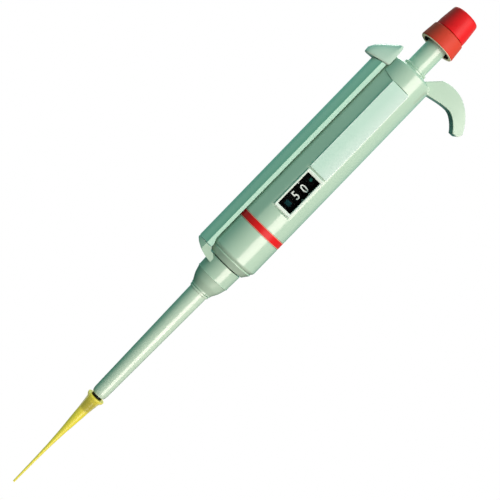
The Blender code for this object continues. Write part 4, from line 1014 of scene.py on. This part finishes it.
def drum_mesh(box):
    """One drum's ring with fine chamfers."""
    low, high, radius = box[0].z, box[1].z, box[1].x
    return turned(
        [
            (DRUM_BORE, high),
            (radius - DRUM_CHAMFER, high),
            (radius, high - DRUM_CHAMFER),
            (radius, low + DRUM_CHAMFER),
            (radius - DRUM_CHAMFER, low),
            (DRUM_BORE, low),
        ],
        SMALL_ROUND_SIDES,
    )


def make_drum(body, node, signs, lead=0.0):
    """A black drum with its signs. The first sign is the one shown at rest, and the next follow it."""
    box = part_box(node)
    finished(node + "_ring", drum_mesh(box), drum_black, body, [node])
    middle_z = (box[0].z + box[1].z) / 2
    print_mesh = bmesh.new()
    for index, sign in enumerate(signs):
        if sign != " ":
            heading = FRONT + lead - PLACE_STEP * index
            added(print_mesh, wrapped(text_mesh(sign), box[1].x, middle_z, heading))
    if len(print_mesh.verts):
        printed = finished(node + "_digits", print_mesh, print_white, "", [])
        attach(printed, body)


def dot_tree():
    """A tree that sets equal low round dots in a ring."""
    tree = bpy.data.node_groups.new("dot_ring", "GeometryNodeTree")
    tree.is_modifier = True
    tree.interface.new_socket("Geometry", in_out="INPUT", socket_type="NodeSocketGeometry")
    count = tree.interface.new_socket("Dots", in_out="INPUT", socket_type="NodeSocketInt")
    radius = tree.interface.new_socket("Ring radius", in_out="INPUT", socket_type="NodeSocketFloat")
    size = tree.interface.new_socket("Dot radius", in_out="INPUT", socket_type="NodeSocketFloat")
    height = tree.interface.new_socket("Height", in_out="INPUT", socket_type="NodeSocketFloat")
    tree.interface.new_socket("Geometry", in_out="OUTPUT", socket_type="NodeSocketGeometry")
    given = tree.nodes.new("NodeGroupInput")
    start = Socket(tree, given.outputs[0])
    dots = Socket(tree, given.outputs["Dots"])
    across = Socket(tree, given.outputs["Ring radius"])
    ring = start.node("GeometryNodeMeshCircle", {"Vertices": dots, "Radius": across})
    quarter = start.node("GeometryNodeTransform", {"Geometry": ring, "Rotation": (0, 0, FRONT)})
    disc_radius = Socket(tree, given.outputs["Dot radius"])
    sizes = {"Vertices": DOT_SIDES, "Radius": disc_radius, "Depth": DIGIT_DEPTH}
    disc = start.node("GeometryNodeMeshCylinder", sizes)
    upright = start.node("GeometryNodeTransform", {"Geometry": disc, "Rotation": (0, math.pi / 2, 0)})
    turn = start.node("GeometryNodeInputIndex") * start.sum("DIVIDE", math.tau, dots) + FRONT
    heading = start.node("ShaderNodeCombineXYZ", {"Z": turn})
    rotation = start.node("FunctionNodeEulerToRotation", {"Euler": heading})
    set_round = start.node(
        "GeometryNodeInstanceOnPoints", {"Points": quarter, "Instance": upright, "Rotation": rotation}
    )
    lift = start.node("ShaderNodeCombineXYZ", {"Z": Socket(tree, given.outputs["Height"])})
    placed = start.node("GeometryNodeTransform", {"Geometry": set_round, "Translation": lift})
    solid = start.node("GeometryNodeRealizeInstances", {"Geometry": placed})
    painted = start.node("GeometryNodeSetMaterial", {"Geometry": solid, "Material": print_teal})
    result = tree.nodes.new("NodeGroupOutput")
    tree.links.new(painted.output, result.inputs["Geometry"])
    return tree, {"dots": count, "radius": radius, "size": size, "height": height}


def ring_of_dots(name, body, dots, radius, size, height):
    """A ring of printed dots on a drum, made a plain mesh."""
    tree, sockets = dot_tree()
    helper = bpy.data.objects.new("passing", bpy.data.meshes.new("passing"))
    bpy.context.scene.collection.objects.link(helper)
    step = helper.modifiers.new("dots", "NODES")
    step.node_group = tree
    values = {"dots": dots, "radius": radius, "size": size, "height": height}
    for key, socket in sockets.items():
        step[socket.identifier] = values[key]
    bpy.context.view_layer.update()
    data = bpy.data.meshes.new_from_object(helper.evaluated_get(bpy.context.evaluated_depsgraph_get()))
    bpy.data.objects.remove(helper)
    mesh = bmesh.new()
    mesh.from_mesh(data)
    made = finished(name, mesh, print_teal, "", [])
    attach(made, body)


make_drum("units", "fine_drum", "")
make_drum("units", "units_drum", "0123456789", UNITS_LEAD)
make_drum("tens", "tens_drum", "5678901234")
make_drum("hundreds", "hundreds_drum", " 12345678 ")
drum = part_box("hundreds_drum")
half = HUNDREDS_MARK / 2
mark = cuboid((-half, -half, -DIGIT_DEPTH / 2), (half, half, DIGIT_DEPTH / 2))
mark = wrapped(mark, drum[1].x, (drum[0].z + drum[1].z) / 2, FRONT)
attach(finished("hundreds_mark", mark, print_dark, "", []), "hundreds")
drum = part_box("fine_drum")
ring_of_dots("fine_dots", "units", DOT_COUNT, drum[1].x, DOT_RADIUS, (drum[0].z + drum[1].z) / 2)


# Ejector: bar, key, head and sleeve
def channel_outline(half_width, shoulder_x, outer_x, inner_x, steps=12):
    """Outline of the bar on the -X side: straight front and back, sides that slant in to a round nose."""
    slant_x = shoulder_x + (outer_x - shoulder_x) * BAR_SLANT
    front = bezier(
        (-shoulder_x, -half_width),
        (-slant_x, -half_width * BAR_SLANT),
        (-outer_x, -half_width * BAR_NOSE),
        (-outer_x, 0),
        steps,
    )
    back = [(x, -y) for x, y in reversed(front)]
    return [(-inner_x, -half_width), *front, (-outer_x, 0), *back, (-inner_x, half_width)]


def lean(x, z):
    """A height on the sloping joint between bar and key."""
    return z + KEY_SLOPE * (x + HANDLE_RADIUS)


def key_clearance(low, high):
    """The handle's round outside with a running gap, as a cutter."""
    return turned(
        [
            (0, high),
            (handle_radius(high) + KEY_GAP, high),
            (handle_radius(low) + KEY_GAP, low),
            (0, low),
        ]
    )


bar_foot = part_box("ejector_bar")[0].z
bar_head = BAR_TOP + CUT_ABOVE
outline = channel_outline(BAR_HALF_WIDTH, BAR_SHOULDER_X, BAR_OUTER_X, BAR_BACK_X)
solid = lofted([[(x, y, bar_foot) for x, y in outline], [(x, y, lean(x, BAR_TOP)) for x, y in outline]])
foot_run = turned(
    [
        (0, bar_head),
        (handle_radius(BAR_TOP) + BAR_GAP, bar_head),
        (handle_radius(HANDLE_FOOT) + BAR_GAP, HANDLE_FOOT + 0.0016),
        (BAR_FOOT_GAP_RADIUS, HANDLE_FOOT - 0.0010),
        (BAR_FOOT_GAP_RADIUS, bar_foot - CUT_BELOW),
        (0, bar_foot - CUT_BELOW),
    ]
)
solid = carved(solid, foot_run)
outline = channel_outline(CHANNEL_HALF_WIDTH, BAR_SHOULDER_X, CHANNEL_OUTER_X, CHANNEL_BACK_X)
hollow = lofted([[(x, y, z) for x, y in outline] for z in (bar_foot + CHANNEL_FOOT_WALL, bar_head)])
solid = bevelled(carved(solid, hollow), BAR_EDGE, segments=2, angle=30)
finished("ejector_channel", solid, ejector_mint, "ejector", ["ejector_bar"])

key_foot = BAR_TOP + KEY_JOINT
key_rings = []
for height, reach, width in KEY_LEVELS:
    outline = channel_outline(KEY_HALF_WIDTH * width, KEY_ROOT_X, KEY_ROOT_X + KEY_REACH * reach, BAR_BACK_X)
    key_rings.append([(x, y, lean(x, key_foot + KEY_HEIGHT * height)) for x, y in outline])
solid = bevelled(lofted(key_rings), KEY_EDGE, segments=2, angle=60)
solid = carved(solid, key_clearance(key_foot - CUT_BELOW, key_foot + KEY_CUT_HEIGHT))
finished("ejector_key", solid, key_mint, "ejector", ["thumb_key"])

head_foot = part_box("ejector_head")[0].z
head_top = nut[0].z - NECK_GAP
neck_foot = head_top - NECK_HEIGHT
head = turned(
    softened(
        [
            (NECK_BORE, head_top, 0.0002),
            (0.00815, head_top, 0.0003),
            (0.0079, neck_foot + 0.0004, 0),
            (0.0081, neck_foot + 0.0002, 0.0001),
            (0.0080, neck_foot, 0),
            (0.0078, neck_foot - 0.0001, 0),
            (0.0068, neck_foot - 0.0036, 0.0008),
            (HEAD_FOOT_RADIUS, head_foot + 0.0007, 0.0002),
            (HEAD_FOOT_RADIUS, head_foot, 0.0002),
            (HEAD_HOLE, head_foot, 0),
            (HEAD_HOLE, neck_foot - 0.0034, 0),
            (NECK_FOOT_BORE, neck_foot, 0),
        ]
    )
)
arm_outline = softened(
    [
        (-0.0161, -0.1070, 0.0003),
        (-0.0096, -0.1070, 0.0001),
        (-0.0089, -0.10825, 0.0004),
        (-0.0076, -0.10825, 0.0004),
        (-0.0054, -0.11005, 0.0006),
        (-0.0044, -0.11105, 0.0006),
        (-0.0050, -0.11185, 0.0006),
        (-0.0090, -0.11135, 0.0008),
        (-0.01225, -0.11035, 0.0008),
        (-0.0149, -0.10895, 0.0008),
        (-0.0161, -0.1079, 0.0006),
    ],
    3,
)
arm = lofted([[(x, y, z) for x, z in arm_outline] for y in (-ARM_HALF_WIDTH, ARM_HALF_WIDTH)])
outline = channel_outline(BAR_HALF_WIDTH, BAR_SHOULDER_X, BAR_OUTER_X, ARM_BACK_X)
plan = lofted([[(x, y, z) for x, y in outline] for z in (ARM_PLAN_FOOT, ARM_PLAN_TOP)])
arm = bevelled(carved(arm, plan, "INTERSECT"), ARM_EDGE, segments=2, angle=30)
hole = turned(
    [
        (0, ARM_HOLE_TOP),
        (NECK_BORE, ARM_HOLE_TOP),
        (NECK_FOOT_BORE, ARM_HOLE_FOOT),
        (0, ARM_HOLE_FOOT),
    ]
)
arm = carved(arm, hole)
finished("ejector_neck", added(head, arm), mint, "ejector", ["ejector_head"])

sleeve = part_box("ejector_tube")
sleeve_foot = sleeve[0].z
ring_top = head_foot - SLEEVE_RING_GAP
turned_piece(
    "ejector_sleeve",
    [
        (SLEEVE_BORE, sleeve[1].z, 0),
        (SLEEVE_RADIUS, sleeve[1].z, 0),
        (SLEEVE_RADIUS, ring_top, 0),
        (SLEEVE_RING_RADIUS, ring_top, 0.0002),
        (SLEEVE_RING_RADIUS, ring_top - 0.0008, 0.0002),
        (0.0044, ring_top - 0.0010, 0),
        (0.00345, sleeve_foot + 0.0016, 0.0005),
        (0.00325, sleeve_foot + 0.0006, 0.0003),
        (SLEEVE_BORE, sleeve_foot, 0.0001),
        (SLEEVE_MOUTH, sleeve_foot, 0),
        (SLEEVE_MOUTH, sleeve_foot + 0.0012, 0),
        (SLEEVE_BORE, sleeve_foot + 0.0015, 0),
    ],
    sleeve_mint,
    "ejector",
    ["ejector_tube"],
    SMALL_ROUND_SIDES,
)

# Tip cone and tip
turned_piece(
    "cone",
    [
        (CONE_SOCKET_RADIUS, CONE_TOP, 0),
        (CONE_RADIUS, CONE_TOP, 0.0002),
        (CONE_RADIUS, -0.1860, 0.0010),
        (0.00180, -0.1943, 0.0002),
        (0.00150, CONE_END, 0),
        (CONE_HOLE, CONE_END, 0),
        (CONE_HOLE, CONE_SOCKET, 0),
        (CONE_SOCKET_RADIUS, CONE_SOCKET, 0),
    ],
    black,
    "handle",
    ["tip_cone"],
    SMALL_ROUND_SIDES,
)
turned_piece(
    "tip",
    [
        (0.0042, TIP_TOP, 0.0003),
        (0.0040, -0.1877, 0.0003),
        (0.0032, -0.1887, 0.0004),
        (0.00245, -0.1946, 0.0005),
        (0.00205, -0.1996, 0.0010),
        (0.00132, -0.2079, 0.0010),
        (0.00085, -0.2163, 0.0010),
        (0.00064, -0.2246, 0.0010),
        (0.00045, TIP_END, 0),
        (0.00022, TIP_END, 0),
        (0.00037, -0.2246, 0),
        (0.00058, -0.2163, 0),
        (0.00105, -0.2079, 0),
        (0.00178, -0.1996, 0),
        (0.00210, -0.1946, 0),
        (0.00272, TIP_TOP, 0.0001),
    ],
    yellow,
    "tip",
    ["pipette_tip"],
    SMALL_ROUND_SIDES,
)


# Springs
def coil(name):
    """A spring copied from its CAD node, in steel, riding on the handle."""
    mesh = bmesh.new()
    mesh.from_mesh(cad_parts[name].data)
    piece = finished(name + "_wire", mesh, steel, "handle", [name])
    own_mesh(piece)


coil("piston_spring")
coil("blowout_spring")
coil("ejector_spring")

# Materials of the nodes that stay as they are
carried = {
    "thread_sleeve": brass,
    "volume_screw": brass,
    "counter_frame": black,
    "upper_spacer": ivory,
    "lower_spacer": ivory,
    "seal_retainer": steel,
    "shaft": black,
    "piston_seal": ivory,
    "o_ring": rubber,
    "ejector_guide_rod": steel,
    "thrust_washer": steel,
    "piston_plate": ivory,
    "piston": steel,
    "counter_sleeve": black,
    "blowout_plate": steel,
    "key_pin": steel,
    "arm_screw": steel,
    "window_lens": glass,
}
for name, paint in carried.items():
    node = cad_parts[name]
    node.data.materials.clear()
    node.data.materials.append(paint)


# Camera, lights, surround and floor
def make_camera():
    """A camera near the height of the window, turned so that the pipette leans to the upper right."""
    away = Vector((math.sin(CAMERA_AZIMUTH), -math.cos(CAMERA_AZIMUTH), 0))
    place = away * CAMERA_DISTANCE + Vector((0, 0, EYE_LEVEL))
    ahead = Matrix.Rotation(-CAMERA_YAW, 3, "Z") @ -away
    level_right = ahead.cross(Vector((0, 0, 1)))
    ahead = Matrix.Rotation(CAMERA_PITCH, 3, level_right) @ ahead
    level_up = level_right.cross(ahead)
    right = level_right * math.sin(AXIS_LEAN) + level_up * math.cos(AXIS_LEAN)
    up = level_up * math.sin(AXIS_LEAN) - level_right * math.cos(AXIS_LEAN)
    turn = Matrix((right, up, -ahead)).transposed()
    data = bpy.data.cameras.new("photo_camera")
    data.lens = CAMERA_LENS
    data.sensor_width = CAMERA_SENSOR
    data.clip_start = CAMERA_NEAR
    data.clip_end = CAMERA_FAR
    camera = bpy.data.objects.new("photo_camera", data)
    camera.matrix_world = Matrix.Translation(place) @ turn.to_4x4()
    bpy.context.scene.collection.objects.link(camera)
    bpy.context.scene.camera = camera


make_camera()


def make_light(name, direction, distance, size, power, colour):
    """A soft oblong light, placed by its direction and distance from the target."""
    data = bpy.data.lights.new(name, "AREA")
    data.shape = "RECTANGLE"
    data.size = size[0]
    data.size_y = size[1]
    data.energy = power
    data.color = colour
    light = bpy.data.objects.new(name, data)
    heading = Vector(direction).normalized()
    light.location = LIGHT_TARGET + heading * distance
    light.rotation_mode = "QUATERNION"
    light.rotation_quaternion = heading.to_track_quat("Z", "Y")
    bpy.context.scene.collection.objects.link(light)


make_light(
    "key_light",
    direction=(0.574, -0.819, 0.25),
    distance=0.7,
    size=(0.55, 0.8),
    power=4.7,
    colour=(1.0, 0.84, 0.80),
)
make_light(
    "low_light",
    direction=(0.390, -0.557, -0.31),
    distance=0.747,
    size=(0.5, 0.26),
    power=1.35,
    colour=(1.0, 0.88, 0.82),
)
make_light(
    "rear_light",
    direction=(-0.10, 0.62, 0.78),
    distance=0.8,
    size=(0.5, 0.5),
    power=3.0,
    colour=(1.0, 0.95, 0.92),
)


def make_world():
    """A teal surround, dark from below, seen as plain white by the camera."""
    world = bpy.data.worlds.new("white_world")
    world.use_nodes = True
    bpy.context.scene.world = world
    tree = world.node_tree
    seen = tree.nodes["Background"]
    seen.inputs["Color"].default_value = (1, 1, 1, 1)
    seen.inputs["Strength"].default_value = 1.0
    place = Socket(tree, tree.nodes.new("ShaderNodeTexCoord").outputs["Generated"])
    rise = along(place, 2).ramp(-0.30, 0.15)
    dim = tree.nodes.new("ShaderNodeBackground")
    join_up(tree, rise.blend((0.01, 0.04, 0.03), (0.20, 0.48, 0.41)), dim.inputs["Color"])
    path = tree.nodes.new("ShaderNodeLightPath")
    mix = tree.nodes.new("ShaderNodeMixShader")
    tree.links.new(path.outputs["Is Camera Ray"], mix.inputs["Fac"])
    tree.links.new(dim.outputs["Background"], mix.inputs[1])
    tree.links.new(seen.outputs["Background"], mix.inputs[2])
    tree.links.new(mix.outputs["Shader"], tree.nodes["World Output"].inputs["Surface"])


make_world()


def make_floor():
    """A plain white floor that the camera sees and that is left out of the light."""
    mesh = bmesh.new()
    bmesh.ops.create_circle(mesh, cap_ends=True, segments=FLOOR_SIDES, radius=FLOOR_RADIUS)
    bmesh.ops.translate(mesh, verts=mesh.verts, vec=(0, 0, FLOOR_LEVEL))
    data = bpy.data.meshes.new("floor")
    mesh.to_mesh(data)
    mesh.free()
    white = (1.0, 1.0, 1.0)
    paint, _, _ = material(
        "floor_white",
        Base_Color=(0.0, 0.0, 0.0),
        Roughness=1.0,
        Specular_IOR_Level=0.0,
        Emission_Color=white,
        Emission_Strength=1.0,
    )
    data.materials.append(paint)
    floor = bpy.data.objects.new("floor", data)
    bpy.context.scene.collection.objects.link(floor)
    floor.visible_diffuse = False
    floor.visible_glossy = False
    floor.visible_transmission = False
    floor.visible_shadow = False


make_floor()
bpy.context.scene.view_settings.view_transform = "Standard"
